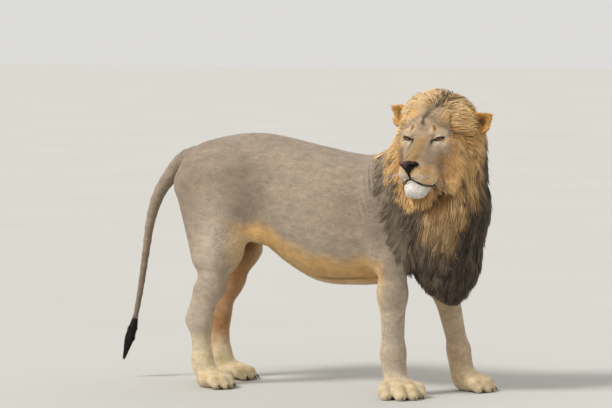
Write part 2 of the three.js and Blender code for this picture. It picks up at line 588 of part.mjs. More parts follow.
// An ear is a cup: an egg with a smaller egg taken out of its front.
function earPose(s) {
  return headFrame.clone()
    .multiply(new THREE.Matrix4().makeTranslation(EAR.x, s * EAR.y, EAR.z - s * EAR.uneven))
    .multiply(new THREE.Matrix4().makeRotationZ(s * EAR.turn))
    .multiply(new THREE.Matrix4().makeRotationX(-s * EAR.lean));
}
const earEgg = (s, gap) => solidOf(new THREE.SphereGeometry(1, 10, 7).rotateX(Math.PI / 2)
  .scale(EAR.deep + gap, EAR.wide + gap, EAR.tall + gap).applyMatrix4(earPose(s)));
const earDish = (s) => solidOf(new THREE.SphereGeometry(1, 9, 6).rotateX(Math.PI / 2)
  .scale(EAR.deep, EAR.wide - 9, EAR.tall - 9).translate(EAR.deep * 0.62, 0, 6).applyMatrix4(earPose(s)));

const headSpan = [300, 300, 340];
let face = meshed(wholeField, sub(HEAD_AT, headSpan), add(HEAD_AT, headSpan), CELL.head).intersect(headBlock(0));
for (const [word, s] of sides) {
  face = face.subtract(eyeball(s, EYE.r + CUT)).subtract(earEgg(s, CUT));
  part(`eye_${word}`, eyeball(s, EYE.r), IRIS);
  part(`ear_${word}`, largest(earEgg(s, 0).subtract(earDish(s))), FACE);
}
face = face.subtract(noseSolid(CUT));
part("nose", noseSolid(0), NOSE_SKIN);
part("lower_jaw", largest(within(face, LIPS, JAW_ANGLE)), FACE);
part("head", largest(without(face, LIPS, JAW_ANGLE)), FACE);

// ---- Neck and mane: the hair in four masses round a plain tapering neck ----
function neckCore(gap) {
  const [from, to] = [new THREE.Vector3(...NECK.from), new THREE.Vector3(...NECK.to)];
  const along = to.clone().sub(from);
  const core = new THREE.CylinderGeometry(NECK.thin + gap, NECK.thick + gap, along.length() + 2 * gap, 16)
    .applyQuaternion(new THREE.Quaternion().setFromUnitVectors(new THREE.Vector3(0, 1, 0), along.clone().normalize()))
    .translate(...from.clone().lerp(to, 0.5).toArray());
  return solidOf(core);
}
const wholeMane = without(within(meshed(wholeField, [250, -300, 280], [920, 300, 1420], CELL.mane), MANE_EDGE),
  ...SHOULDER[LEFT]).subtract(headBlock(CUT));
part("neck", largest(wholeMane.intersect(neckCore(0))), COAT);
let mane = wholeMane.subtract(neckCore(CUT));
for (const [, s] of sides) mane = mane.subtract(earEgg(s, CUT));
const MANE_SPLITS = {
  crown: [CROWN_CUT],
  chest: [flip(CROWN_CUT), CHEST_CUT],
  right: [flip(CROWN_CUT), flip(CHEST_CUT), [[0, MANE_PARTING, 0], [0, -1, 0]]],
  left: [flip(CROWN_CUT), flip(CHEST_CUT), [[0, MANE_PARTING, 0], [0, 1, 0]]],
};
for (const [word, region] of Object.entries(MANE_SPLITS)) {
  part(`mane_${word}`, largest(within(mane, ...region)), word === "crown" ? GOLD_MANE : DARK_MANE);
}

// ---- Tail and its tuft ----
const HALF_CUT = CUT / 2 / tailCurve.getLength();
part("tail_upper", tailLength(TAIL_ROOT_AT + 2 * HALF_CUT, TAIL_MIDDLE - HALF_CUT, 9), COAT);
part("tail_lower", tailLength(TAIL_MIDDLE + HALF_CUT, TUFT_FROM - HALF_CUT, 7), COAT);
part("tail_tuft", tailLength(TUFT_FROM + HALF_CUT, 1, 6), TUFT);

// ---- Origin at the middle of the foot of the box round the whole lion ----
const box = new THREE.Box3().setFromObject(lion);
const middle = box.getCenter(new THREE.Vector3());
lion.position.set(-middle.x, -middle.y, -box.min.z);
lion.updateMatrixWorld(true);

export default lion;
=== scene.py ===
import math

import bpy
import numpy as np
from mathutils import Matrix, Vector


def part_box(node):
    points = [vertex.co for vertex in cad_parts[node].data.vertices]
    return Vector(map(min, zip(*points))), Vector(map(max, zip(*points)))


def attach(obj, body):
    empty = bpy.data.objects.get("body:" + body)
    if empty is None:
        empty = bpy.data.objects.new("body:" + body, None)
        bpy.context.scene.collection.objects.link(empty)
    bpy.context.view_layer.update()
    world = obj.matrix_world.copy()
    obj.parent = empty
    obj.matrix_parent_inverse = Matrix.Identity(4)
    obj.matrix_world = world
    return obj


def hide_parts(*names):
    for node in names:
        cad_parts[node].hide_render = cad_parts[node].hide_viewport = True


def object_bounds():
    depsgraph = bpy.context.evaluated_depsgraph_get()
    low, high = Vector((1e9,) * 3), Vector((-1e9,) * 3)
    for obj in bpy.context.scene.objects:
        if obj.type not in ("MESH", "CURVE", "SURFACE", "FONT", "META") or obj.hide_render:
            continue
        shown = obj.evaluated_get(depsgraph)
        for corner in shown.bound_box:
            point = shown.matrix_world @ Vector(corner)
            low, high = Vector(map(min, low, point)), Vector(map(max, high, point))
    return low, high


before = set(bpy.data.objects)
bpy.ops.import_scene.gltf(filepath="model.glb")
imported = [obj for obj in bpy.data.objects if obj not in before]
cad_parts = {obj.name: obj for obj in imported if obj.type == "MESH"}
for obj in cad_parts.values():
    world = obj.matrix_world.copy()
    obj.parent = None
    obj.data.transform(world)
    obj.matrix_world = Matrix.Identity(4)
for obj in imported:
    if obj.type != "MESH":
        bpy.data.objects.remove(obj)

bl_info = {
    "name": "Standing Lion",
    "version": (1, 0, 0),
    "blender": (4, 5, 0),
    "location": "View3D > Sidebar > Lion",
    "description": "Skin, coat, mane, face and studio for a life-size standing lion",
    "category": "Mesh",
}

CAD_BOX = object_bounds()
MM = 0.001  # the body plan below is in millimetres, as the solids are
RIGHT, LEFT = -1, 1  # the lion's own sides: its right faces -Y
SIDES = (("right", RIGHT), ("left", LEFT))


# ---------------------------------------------------------------- sizes and colours a user would change

def length(name, text, default, low=0.0):
    return bpy.props.FloatProperty(name=name, description=text, default=default, min=low, unit="LENGTH")


def angle(name, text, degrees):
    return bpy.props.FloatProperty(name=name, description=text, default=math.radians(degrees),
                                   unit="ROTATION")


def tally(name, text, default):
    return bpy.props.IntProperty(name=name, description=text, default=default, min=0)


def colour(name, text, code):
    return bpy.props.FloatVectorProperty(name=name, description=text, default=linear(code), size=3,
                                         min=0.0, max=1.0, subtype="COLOR")


def linear(code):
    """The linear colour of a six-digit screen colour."""
    parts = [int(code[i:i + 2], 16) / 255 for i in (0, 2, 4)]
    return tuple(c / 12.92 if c <= 0.04045 else ((c + 0.055) / 1.055) ** 2.4 for c in parts)


class LionSkinSettings(bpy.types.PropertyGroup):
    facet: length("Facet", "Size of a facet of the skin away from the head and paws", 0.0095, 0.004)
    coat_depth: length("Coat depth", "How far the skin lies inside the outline on the body", 0.005)
    face_depth: length("Face depth", "How far the skin lies inside the outline on the face and feet", 0.002)
    mane_depth: length("Mane depth", "How far the skin lies inside the mane's outline", 0.042)
    eye: length("Eyeball", "Radius of the eyeball", 0.0198)
    iris: length("Iris", "Radius of the coloured iris", 0.0135)
    pupil: length("Pupil", "Radius of the round pupil", 0.0040)


class LionCoatSettings(bpy.types.PropertyGroup):
    body_tufts: tally("Body tufts", "Short tufts on body and legs", 26000)
    face_tufts: tally("Face tufts", "Short tufts on the face and ears", 20000)
    mane_locks: tally("Mane locks", "Long locks of the mane", 28500)
    hairline: tally("Hairline locks", "Locks between the short face and the mane", 8800)
    tail_locks: tally("Tail locks", "Locks of the tail's tuft", 1500)
    tuft_length: length("Tuft length", "Length of a tuft on the flank", 0.015)
    tuft_width: length("Tuft width", "Width of a tuft on the flank", 0.0011)
    lock_length: length("Lock length", "Length of a lock on the side of the neck", 0.17)
    lock_width: length("Lock width", "Width of a lock of the mane", 0.0040)


class LionColourSettings(bpy.types.PropertyGroup):
    flank: colour("Flank", "Dusty upper coat", "9a8a77")
    rump: colour("Rump", "Darker coat over rump and ribs", "857361")
    back: colour("Back", "Pale top of the back", "908272")
    belly: colour("Belly", "Golden lower flank and belly", "c29a5f")
    groin: colour("Groin", "Orange-brown coat inside the thighs", "8f602f")
    shin: colour("Shins", "Greyish coat of the lower legs", "b8a793")
    foot: colour("Feet", "Cream coat of the feet", "cbb994")
    forehead: colour("Forehead", "Grey-tan forehead", "ae967a")
    bridge: colour("Nose bridge", "Tan bridge of the nose", "95744a")
    cheek: colour("Cheek", "Grey-brown patch below the eye", "8d7a63")
    lip: colour("Upper lip", "Pale tan whisker pads", "cba672")
    chin: colour("Chin", "White chin", "e0dace")
    black: colour("Black skin", "Lips, lid rims and nose", "120d0c")
    amber: colour("Iris", "Amber of the iris", "94691f")
    gold: colour("Golden mane", "Mane round the face and on the bib", "e2ab62")
    blond: colour("Blond tips", "Pale tips of the crown", "f0d6a6")
    dark: colour("Dark mane", "Blackish mane of neck and chest", "2f261d")
    brown: colour("Brown mane", "Lighter strands in the dark mane", "857460")
    claw: colour("Claw", "Dark horn of the claws", "3a2e28")


class LionStageSettings(bpy.types.PropertyGroup):
    lens: bpy.props.FloatProperty(name="Lens", description="Focal length of the camera", default=165.94,
                                  min=10.0, unit="CAMERA")
    camera_at: bpy.props.FloatVectorProperty(name="Camera place", description="Where the camera stands",
                                             default=(4.247, -11.4445, 1.6685), subtype="TRANSLATION")
    camera_turn: angle("Camera turn", "Heading of the view", 110.233)
    camera_dip: angle("Camera dip", "How far the view looks down", 4.051)
    floor: colour("Floor", "Plain pale floor", "bdbbb5")


# ---------------------------------------------------------------- distance fields, below zero inside
# Each works on an array of points, one per row, and gives one distance per point.

FAR_AWAY = 1e4


def unit(v):
    v = np.asarray(v, float)
    return v / np.maximum(1e-9, np.linalg.norm(v, axis=-1, keepdims=True))


def smooth(x, low, high):
    t = np.clip((x - low) / (high - low), 0, 1)
    return t * t * (3 - 2 * t)


def mix(a, b, t):
    return a + (b - a) * t


def cone(a, b, ra, rb, flat=1.0):
    """A round-ended cone from a to b. flat squeezes it across the body."""
    a, b = np.array(a, float), np.array(b, float)
    along = b - a

    def field(p):
        q = p - a
        t = np.clip(q @ along / (along @ along), 0, 1)
        q = q - t[:, None] * along
        q[:, 1] /= flat
        return (np.sqrt(np.einsum("ij,ij->i", q, q)) - mix(ra, rb, t)) * min(1, (1 + flat) / 2)
    return field


def egg(centre, size, pitch=0.0, yaw=0.0):
    """An ellipsoid, pitched nose up and yawed, in degrees."""
    size = np.array(size, float)
    turn = np.array(Matrix.Rotation(math.radians(yaw), 3, "Z")
                    @ Matrix.Rotation(-math.radians(pitch), 3, "Y"))

    def field(p):
        q = (p - np.array(centre, float)) @ turn / size
        k = np.sqrt(np.einsum("ij,ij->i", q, q))
        q /= size
        return k * (k - 1) / np.maximum(1e-6, np.sqrt(np.einsum("ij,ij->i", q, q)))
    return field


def blended(a, b, k):
    h = np.maximum(k - np.abs(a - b), 0) / k
    return np.minimum(a, b) - h * h * k / 4


def melt(k, *fields):
    def field(p):
        d = fields[0](p)
        for other in fields[1:]:
            d = blended(d, other(p), k)
        return d
    return field


def hollow(k, solid, tool):
    return lambda p: -blended(-solid(p), tool(p), k)


def fold(p):
    """The points with those on the right mirrored to the left."""
    return np.column_stack([p[:, 0], np.abs(p[:, 1]), p[:, 2]])


def both_sides(field):
    return lambda p: field(fold(p))


def near(field, low, high):
    """The field where it matters, between two corners, and a large distance elsewhere."""
    def inside_box(p):
        d = np.full(len(p), FAR_AWAY)
        close = np.all((p > low) & (p < high), axis=1)
        if close.any():
            d[close] = field(p[close])
        return d
    return inside_box


def profile(pairs):
    """A smooth curve through pairs of place and value."""
    x, y = np.array(pairs, float).T
    slope = np.gradient(y, x)
    slope[1:-1] = (y[2:] - y[:-2]) / (x[2:] - x[:-2])

    def value(at):
        i = np.clip(np.searchsorted(x, at, side="right") - 1, 0, len(x) - 2)
        w = x[i + 1] - x[i]
        t = np.clip((at - x[i]) / w, 0, 1)
        t2, t3 = t * t, t * t * t
        return ((2 * t3 - 3 * t2 + 1) * y[i] + (t3 - 2 * t2 + t) * w * slope[i]
                + (3 * t2 - 2 * t3) * y[i + 1] + (t3 - t2) * w * slope[i + 1])
    return value


class Place:
    """A frame standing at a point and turned by a matrix whose columns are its axes."""

    def __init__(self, at, axes):
        self.at = np.array(at, float)
        self.axes = np.array(axes, float)

    def enter(self, p):
        return (p - self.at) @ self.axes

    def leave(self, p):
        return np.atleast_2d(p) @ self.axes.T + self.at

    def direction(self, d):
        return np.asarray(d, float) @ self.axes.T

    def field(self, inner):
        return lambda p: inner(self.enter(p))


def standing(at, turn):
    return Place(at, Matrix.Rotation(math.radians(turn), 3, "Z"))


# ---------------------------------------------------------------- body plan

REAR_END, FRONT_END = -585, 600
HALF_CHEST = 192
STANCE_FORE, STANCE_HIND = 152, 135
PAD = 5  # how far the paws sink below the floor's level
SOLE = 0.4  # the height that the soles are cut flat at

back_line = profile([
    (REAR_END, 985), (-509, 1056), (-413, 1087), (-319, 1106), (-240, 1112), (-170, 1109), (-84, 1095),
    (10, 1074), (110, 1053), (205, 1034), (304, 1024), (390, 1034), (480, 1030), (FRONT_END, 960)])
belly_line = profile([
    (REAR_END, 850), (-500, 745), (-400, 690), (-300, 668), (-230, 643), (-149, 584), (-84, 536), (0, 488),
    (60, 464), (120, 453), (200, 452), (300, 456), (400, 470), (500, 540), (FRONT_END, 690)])
side_line = profile([
    (REAR_END, 74), (-500, 112), (-400, 142), (-300, 146), (-200, 140), (-100, 150), (0, 172), (100, 187),
    (220, HALF_CHEST), (320, HALF_CHEST - 4), (420, 178), (520, 154), (FRONT_END, 118)])


def trunk(p):
    x, y, z = p.T
    top, floor, wide = back_line(x), belly_line(x), side_line(x)
    high = (top - floor) / 2
    lift = (z - (top + floor) / 2) / high
    wide = wide * (1 - 0.13 * np.clip(lift, -1, 1))
    k = np.hypot(y / wide, lift)
    section = k * (k - 1) / np.maximum(1e-6, np.hypot(y / (wide * wide), lift / high))
    ends = np.maximum(REAR_END + 40 - x, x - FRONT_END + 40)
    return -blended(-section, -ends, 90)


FORE = {
    RIGHT: dict(shoulder=(528, -128, 800), elbow=(440, -160, 582), wrist=(443, -STANCE_FORE, 186), turn=-50,
                arm=62, cuff=50),
    LEFT: dict(shoulder=(540, 128, 800), elbow=(540, 158, 596), wrist=(646, STANCE_FORE - 14, 172), turn=-8,
               arm=62, cuff=46),
}
HIND = {
    RIGHT: dict(knee=(-346, -142, 604), hock=(-452, -STANCE_HIND, 290), foot=(-441, -STANCE_HIND, 92),
                turn=-20),
    LEFT: dict(knee=(-366, 140, 598), hock=(-472, STANCE_HIND, 286), foot=(-463, STANCE_HIND, 92), turn=2),
}


def moved(point, dx, dy, dz):
    return (point[0] + dx, point[1] + dy, point[2] + dz)


def foreleg(side):
    shoulder, elbow, wrist, _, arm, cuff = FORE[side].values()
    mid = tuple(mix(np.array(elbow), np.array(wrist), 0.36))
    return melt(
        46,
        egg((430, side * 108, 905), (92, 62, 170), -22),
        cone(shoulder, elbow, 92, 70, 0.72),
        cone((425, side * 138, 850), moved(elbow, -38, side * 4, 26), 74, 36, 0.62),
        cone(elbow, mid, 68, arm, 0.86),
        cone(mid, wrist, arm, cuff, 0.92),
        cone(wrist, moved(wrist, 8, 0, -110), cuff, cuff - 2))


def hindleg(side):
    knee, hock, foot, _ = HIND[side].values()
    calf = moved(mix(np.array(knee), np.array(hock), 0.5), 2, 0, 0)
    return melt(
        48,
        egg((-395, side * 86, 950), (150, 84, 128), 18),
        cone((-420, side * 98, 888), knee, 150, 92, 0.62),
        cone((-528, side * 72, 880), moved(knee, -84, 0, -40), 66, 62, 0.8),
        cone(moved(knee, 78, side * -18, 66), moved(knee, 176, side * -52, 40), 36, 14, 0.6),
        cone(knee, calf, 86, 58, 0.72),
        cone(calf, hock, 58, 46, 0.72),
        cone(moved(hock, -4, 0, 130), moved(hock, -40, 0, 6), 24, 25, 0.8),
        cone(hock, foot, 50, 46, 0.86))


PAW = {
    "fore": dict(reach=84, toes=((104, -57), (130, -20), (130, 20), (104, 57)), toe=27, wide=62, high=46),
    "planted": dict(reach=88, toes=((96, -76), (134, -27), (134, 27), (96, 76)), toe=31, wide=76, high=48),
    "hind": dict(reach=84, toes=((118, -48), (142, -17), (142, 17), (118, 48)), toe=24, wide=54, high=44),
}
PAW_RISE = 120


def paw_place(leg, joint, ahead):
    """A paw's own frame, under the last joint of its leg."""
    x, y, _ = leg[joint]
    return standing((x + ahead, y, -PAD), leg["turn"])


PAWS = {
    "forepaw_right": ("planted", paw_place(FORE[RIGHT], "wrist", 6)),
    "forepaw_left": ("fore", paw_place(FORE[LEFT], "wrist", 12)),
    "hindpaw_right": ("hind", paw_place(HIND[RIGHT], "foot", 0)),
    "hindpaw_left": ("hind", paw_place(HIND[LEFT], "foot", 0)),
}


def paw(reach, toes, toe, wide, high):
    palm = melt(
        30,
        cone((0, 0, PAW_RISE), (26, 0, 62), 46, 44),
        egg((48, 0, high - 4), (reach - 12, wide, high), 6))
    digits = [melt(10, cone((x - 52, y * 0.72, 52), (x - 14, y, 40), toe, toe + 1),
                   cone((x - 14, y, 38), (x + 4, y * 1.04, 24), toe - 1, toe - 4)) for x, y in toes]
    return melt(13, palm, *digits)


def paw_field(name):
    kind, place = PAWS[name]
    reach = 240
    middle = place.leave((50, 0, 60))[0]
    return near(place.field(paw(**PAW[kind])), middle - reach, middle + reach)


# ---- head, in its own frame: between the eyeballs, x forward, y to the lion's left

HEAD_TURN = -97  # degrees from the body's line
HEAD_REACH = 330  # no point of the head is further from its frame's middle
HEAD = standing((586, -172, 1104), HEAD_TURN)
EYE = (0, 73, 2)
LOOK = unit((1, 0.16, -0.02))  # the way an eyeball on the left looks

skull = melt(
    30,
    egg((-104, 0, 4), (112, 110, 104), 20),
    egg((-46, 0, 40), (76, 92, 48), 36),
    both_sides(egg((-26, 74, 6), (34, 40, 38))),
    both_sides(egg((-62, 92, -42), (74, 46, 58))),
    both_sides(egg((-66, 90, -116), (78, 52, 76))),
    cone((-36, 0, -14), (96, 0, -108), 60, 40, 1.02),
    both_sides(egg((-6, 52, -72), (62, 38, 52))))
muzzle = melt(
    18,
    cone((0, 0, -112), (84, 0, -118), 80, 47, 1.04),
    both_sides(egg((86, 31, -131), (46, 34, 37), -6)),
    both_sides(egg((26, 52, -158), (62, 34, 38), 8)),
    egg((54, 0, -172), (56, 54, 34)),
    cone((-60, 0, -166), (60, 0, -204), 66, 40, 1.2),
    egg((78, 0, -210), (34, 46, 36)))
brows = both_sides(melt(
    12,
    cone((10, 44, 26), (-12, 100, 22), 13, 13),
    cone((8, 60, -26), (-14, 98, -16), 11, 12)))
head = melt(16, melt(22, skull, muzzle), brows)


def in_head(point):
    return HEAD.leave(point)[0]


neck = melt(
    60,
    cone((405, 0, 850), in_head((-150, 0, -40)), 176, 112, 0.92),
    cone((480, 0, 760), in_head((-120, 0, -90)), 150, 96, 0.92))

TAIL_PATH = np.array([
    (-462, 0, 1000), (-545, 0, 998), (-606, 0, 962), (-655, -2, 903), (-706, -4, 831), (-745, -6, 711),
    (-763, -6, 591), (-782, -4, 472), (-803, -2, 353), (-827, 0, 249), (-854, 4, 172), (-874, 8, 112)], float)
TAIL_RADIUS = profile([(0, 54), (0.1, 48), (0.2, 38), (0.32, 31), (0.45, 24), (0.6, 20), (0.78, 17),
                       (0.9, 15), (1, 9)])
TUFT_FROM = 0.83  # where the tuft begins, as a share of the tail's length


def gone_along(path):
    """How far along the path each of its points is."""
    return np.concatenate([[0], np.cumsum(np.linalg.norm(np.diff(path, axis=0), axis=1))])


def rods(k, path, radii):
    """Short cones along a path, melted together."""
    return melt(k, *[cone(path[i], path[i + 1], radii[i], radii[i + 1]) for i in range(len(path) - 1)])


def rope(path, radius):
    """Rods along a path, with the radius read from how far along each one starts."""
    gone = gone_along(path)
    gone /= gone[-1]
    return rods(6, path, radius(gone))


def rounded(path):
    """The path with its corners cut, so that it runs as one curve."""
    inner = np.concatenate([0.75 * path[:-1] + 0.25 * path[1:], 0.25 * path[:-1] + 0.75 * path[1:]], axis=1)
    return np.concatenate([path[:1], inner.reshape(-1, 3), path[-1:]])


TAIL = rounded(TAIL_PATH)

flesh = melt(
    30,
    melt(
        58,
        near(trunk, (-760, -330, 300), (760, 330, 1300)),
        near(neck, (200, -330, 500), (900, 330, 1400)),
        near(HEAD.field(head), HEAD.at - HEAD_REACH, HEAD.at + HEAD_REACH),
        near(foreleg(RIGHT), (200, -360, -80), (800, 80, 1250)),
        near(foreleg(LEFT), (200, -80, -80), (900, 360, 1250)),
        near(hindleg(RIGHT), (-800, -360, -80), (0, 90, 1250)),
        near(hindleg(LEFT), (-800, -90, -80), (0, 360, 1250))),
    near(egg((-538, 0, 776), (44, 40, 50)), (-700, -160, 620), (-400, 160, 940)))
body = melt(
    24, flesh, *[paw_field(name) for name in PAWS],
    near(rope(TAIL, TAIL_RADIUS), (-1000, -160, 40), (-360, 160, 1160)))

crown_and_ruff = HEAD.field(melt(
    50,
    egg((-146, 4, 84), (104, 152, 128), 8),
    egg((-128, 0, -50), (104, 188, 172)),
    cone((-72, 0, -210), (-62, 0, -330), 126, 108)))
clearing = HEAD.field(melt(
    40,
    egg((44, 0, -58), (128, 128, 170), -6),
    egg((130, 0, -70), (150, 160, 200))))
mane = near(hollow(26, melt(
    90,
    crown_and_ruff,
    cone((618, 10, 1060), (624, 0, 800), 188, 184),
    cone((630, 0, 780), (650, 0, 560), 180, 128, 0.98),
    cone((648, 0, 560), (664, 0, 448), 118, 62, 0.9),
    cone((560, -70, 620), (586, -66, 486), 90, 42),
    egg((470, 0, 905), (96, 206, 160), -14)), clearing), (150, -480, 240), (1050, 480, 1560))
outline = melt(20, body, mane)

eye_low, eye_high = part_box("eye_right")
EYE_RIGHT = in_head((EYE[0], -EYE[1], EYE[2]))
ORIGIN = (np.array(eye_low) + np.array(eye_high)) / 2 / MM - EYE_RIGHT  # from the plan's origin

MUZZLE_SLIDE = -0.11  # aside for each millimetre ahead


def slide_muzzle(p, by):
    """Slides points of the muzzle towards the lion's right, more and more out to the nose."""
    q = HEAD.enter(p)
    way = by * np.maximum(q[:, 0] - 25, 0) * smooth(q[:, 2], -300, -240)
    return p + way[:, None] * HEAD.axes[:, 1]


def to_metres(p):
    p = np.atleast_2d(p)
    return (slide_muzzle(p, MUZZLE_SLIDE) + ORIGIN) * MM


def to_plan(p):
    return slide_muzzle(np.asarray(p) / MM - ORIGIN, -MUZZLE_SLIDE)


# ---------------------------------------------------------------- meshing a field

def slope(field, p, step=0.4):
    """The field at each point, and its gradient."""
    d = field(p)
    g = np.empty_like(p)
    for axis in range(3):
        q = p.copy()
        q[:, axis] += step
        g[:, axis] = (field(q) - d) / step
    return d, g


def settle(field, p, reach, rounds=3, level=0.0):
    """The points moved along the slope of the field to the surface, a limited way in each round."""
    for _ in range(rounds):
        d, g = slope(field, p)
        step = np.clip((d - level) / np.maximum(0.05, np.einsum("ij,ij->i", g, g)), -reach, reach)
        p = p - g * step[:, None]
    return p


BLOCK = 8  # lattice points along each side of a block


def lattice_values(field, low, cell, count):
    """The field on a lattice, worked out only in the blocks that the surface may cross."""
    blocks = -(-count // BLOCK)
    index = np.stack(np.meshgrid(*[np.arange(n) for n in blocks], indexing="ij"), -1).reshape(-1, 3)
    middles = low + (index * BLOCK + (BLOCK - 1) / 2) * cell
    coarse = field(middles)
    value = np.repeat(np.repeat(np.repeat(np.sign(coarse).reshape(blocks), BLOCK, 0), BLOCK, 1), BLOCK, 2)
    value = value.astype(np.float32) * FAR_AWAY
    crossed = index[np.abs(coarse) < BLOCK * cell * 1.5]
    local = np.stack(np.meshgrid(*[np.arange(BLOCK)] * 3, indexing="ij"), -1).reshape(-1, 3)
    for some in np.array_split(crossed, max(1, len(crossed) // 400)):
        at = (some[:, None, :] * BLOCK + local[None]).reshape(-1, 3)
        value[at[:, 0], at[:, 1], at[:, 2]] = field(low + at * cell)
    return value


def net(field, low, high, cell):
    """Points and quads of the surface: one point in each lattice cube that it crosses."""
    low, high = np.array(low, float), np.array(high, float)
    count = np.ceil((high - low) / cell).astype(int) + 1
    value = lattice_values(field, low, cell, count)
    inside = value < 0
    shape = np.array(value.shape) - 1
    corners = [(c & 1, (c >> 1) & 1, c >> 2) for c in range(8)]

    def corner(grid, c):
        return grid[c[0]:c[0] + shape[0], c[1]:c[1] + shape[1], c[2]:c[2] + shape[2]]

    full = sum(corner(inside, c).astype(np.int8) for c in corners)
    cube = np.argwhere((full > 0) & (full < 8))
    at_corner = [value[tuple((cube + c).T)] for c in corners]
    total = np.zeros((len(cube), 3))
    crossings = np.zeros(len(cube))
    for c in range(8):
        for bit in (1, 2, 4):
            d = c | bit
            if d == c:
                continue
            v, w = at_corner[c], at_corner[d]
            cut = (v < 0) != (w < 0)
            t = np.where(cut, v / np.where(cut, v - w, 1), 0)[:, None]
            total += cut[:, None] * mix(np.array(corners[c], float), np.array(corners[d], float), t)
            crossings += cut
    points = low + (cube + total / crossings[:, None]) * cell
    number = np.full(tuple(shape), -1)
    number[tuple(cube.T)] = np.arange(len(cube))
    quads = []
    for axis in range(3):
        step = np.eye(3, dtype=int)[axis]
        s, t = np.eye(3, dtype=int)[(axis + 1) % 3], np.eye(3, dtype=int)[(axis + 2) % 3]
        here = inside[:-1, :-1, :-1]
        there = corner(inside, step)
        edge = np.argwhere(here != there)
        edge = edge[(edge > 0).all(axis=1)]
        ring = np.stack([number[tuple((edge - p * s - q * t).T)]
                         for p, q in ((0, 0), (1, 0), (1, 1), (0, 1))], 1)
        outwards = here[tuple(edge.T)]
        ring[~outwards] = ring[~outwards][:, ::-1]
        quads.append(ring)
    return settle(field, points, cell * 0.3), np.concatenate(quads)


# ---------------------------------------------------------------- Blender objects from points

def deselect():
    bpy.ops.object.select_all(action="DESELECT")


def new_object(name, mesh):
    piece = bpy.data.objects.new(name, mesh)
    bpy.context.scene.collection.objects.link(piece)
    return piece


def set_all(items, key, value):
    """The same true or false value on every vertex, edge or face."""
    items.foreach_set(key, np.full(len(items), value))


def read(items, key, width=3, kind=float):
    """One row of values for each vertex, edge or face."""
    values = np.empty(len(items) * width, kind)
    items.foreach_get(key, values)
    return values.reshape(-1, width)


def quad_object(name, points, quads):
    """An object from points in the plan's millimetres."""
    mesh = bpy.data.meshes.new(name)
    mesh.from_pydata(to_metres(points).tolist(), [], quads.tolist())
    set_all(mesh.polygons, "use_smooth", True)
    mesh.update()
    return new_object(name, mesh)


def points_of(piece):
    return to_plan(read(piece.data.vertices, "co"))


def put_points(piece, p):
    piece.data.vertices.foreach_set("co", to_metres(p).ravel())
    piece.data.update()


def colour_points(piece, rgb, fur):
    """The marking's colour on each point, with how furry the skin is there in its alpha."""
    layer = piece.data.color_attributes.new("marking", "FLOAT_COLOR", "POINT")
    layer.data.foreach_set("color", np.column_stack([rgb, fur]).ravel())


def finished(piece, material, slot, *nodes):
    piece.data.materials.clear()
    piece.data.materials.append(material)
    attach(piece, "root")
    if nodes:
        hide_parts(*nodes)


def active(piece):
    deselect()
    piece.select_set(True)
    bpy.context.view_layer.objects.active = piece


def subdivide_where(piece, chosen):
    """Splits the faces whose middles are chosen, each into four."""
    mesh = piece.data
    picked = chosen(to_plan(read(mesh.polygons, "center")))
    active(piece)
    bpy.context.tool_settings.mesh_select_mode = (False, False, True)
    set_all(mesh.vertices, "select", False)
    set_all(mesh.edges, "select", False)
    mesh.polygons.foreach_set("select", picked)
    bpy.ops.object.mode_set(mode="EDIT")
    bpy.ops.mesh.subdivide(number_cuts=1)
    bpy.ops.object.mode_set(mode="OBJECT")


# ---------------------------------------------------------------- skin and the details of the face

def settings():
    return bpy.context.scene.lion_skin


def relief(p):
    """Low ribs and the crease under the belly, in millimetres outwards."""
    x, y, z = p.T
    ribs = np.cos((x + 0.42 * (z - 780)) * 2 * np.pi / 46)
    ribs *= np.exp(-((x - 215) / 95) ** 2 - ((z - 770) / 120) ** 2) * (np.abs(y) > 60)
    crease = np.exp(-((z - belly_line(x) - 33 - 0.03 * (x - 60)) / 8) ** 2)
    crease *= smooth(x, 20, 120) * (1 - smooth(x, 360, 400))
    return 1.6 * ribs - 3.5 * crease * (z < 700)


def skin_field(p):
    """The outline less the depth of the coat, which is thin on the face and feet and deep in the mane."""
    s = settings()
    q = HEAD.enter(p)
    bare = np.maximum(smooth(q[:, 0], -110, -40) * (np.linalg.norm(q, axis=1) < 320),
                      1 - smooth(p[:, 2], 120, 220))
    depth = mix(s.coat_depth / MM, s.face_depth / MM, bare)
    d = blended(body(p) + depth, mane(p) + s.mane_depth / MM, 20)
    return -blended(-(d - relief(p)), p[:, 2] - SOLE, 5)


whisker_pads = both_sides(egg((98, 25, -151), (35, 32, 31)))


def foremost(y, z):
    """The point furthest forward on the face at a height and a distance from its middle."""
    x = np.arange(-120, 170, 0.5)
    inside = melt(10, head, whisker_pads)(np.column_stack([x, 0 * x + y, 0 * x + z])) < 0
    return x[inside].max() - 2, y, z


LIP_LINE = [foremost(y, z) for y, z in (
    (0, -167), (13, -171), (25, -179), (39, -188), (51, -195), (61, -199), (68, -191))]
PHILTRUM = [(142, 0, -132), foremost(0, -150), foremost(0, -167)]
LID = dict(radius=23.0, floor=18.4, wide=math.radians(62), upper=math.radians(6), lower=math.radians(21),
           slant=0.2)


def from_eye(q):
    """How far each point in the head's frame is from the middle of the nearer eye."""
    return np.linalg.norm(fold(q) - np.array(EYE), axis=1)


def eye_angles(q):
    """For points in the head's frame, folded to the left: distance from the eye, angles across and up."""
    across = unit(np.cross((0, 0, 1), LOOK))
    up = np.cross(LOOK, across)
    r = q - np.array(EYE)
    ahead, aside, above = r @ LOOK, r @ across, r @ up
    distance = np.linalg.norm(r, axis=1)
    return distance, np.arctan2(aside, ahead), np.arctan2(above, np.hypot(ahead, aside))


EYE_REACH = 20  # the eyeball's radius, which turns an angle into a way along the lid


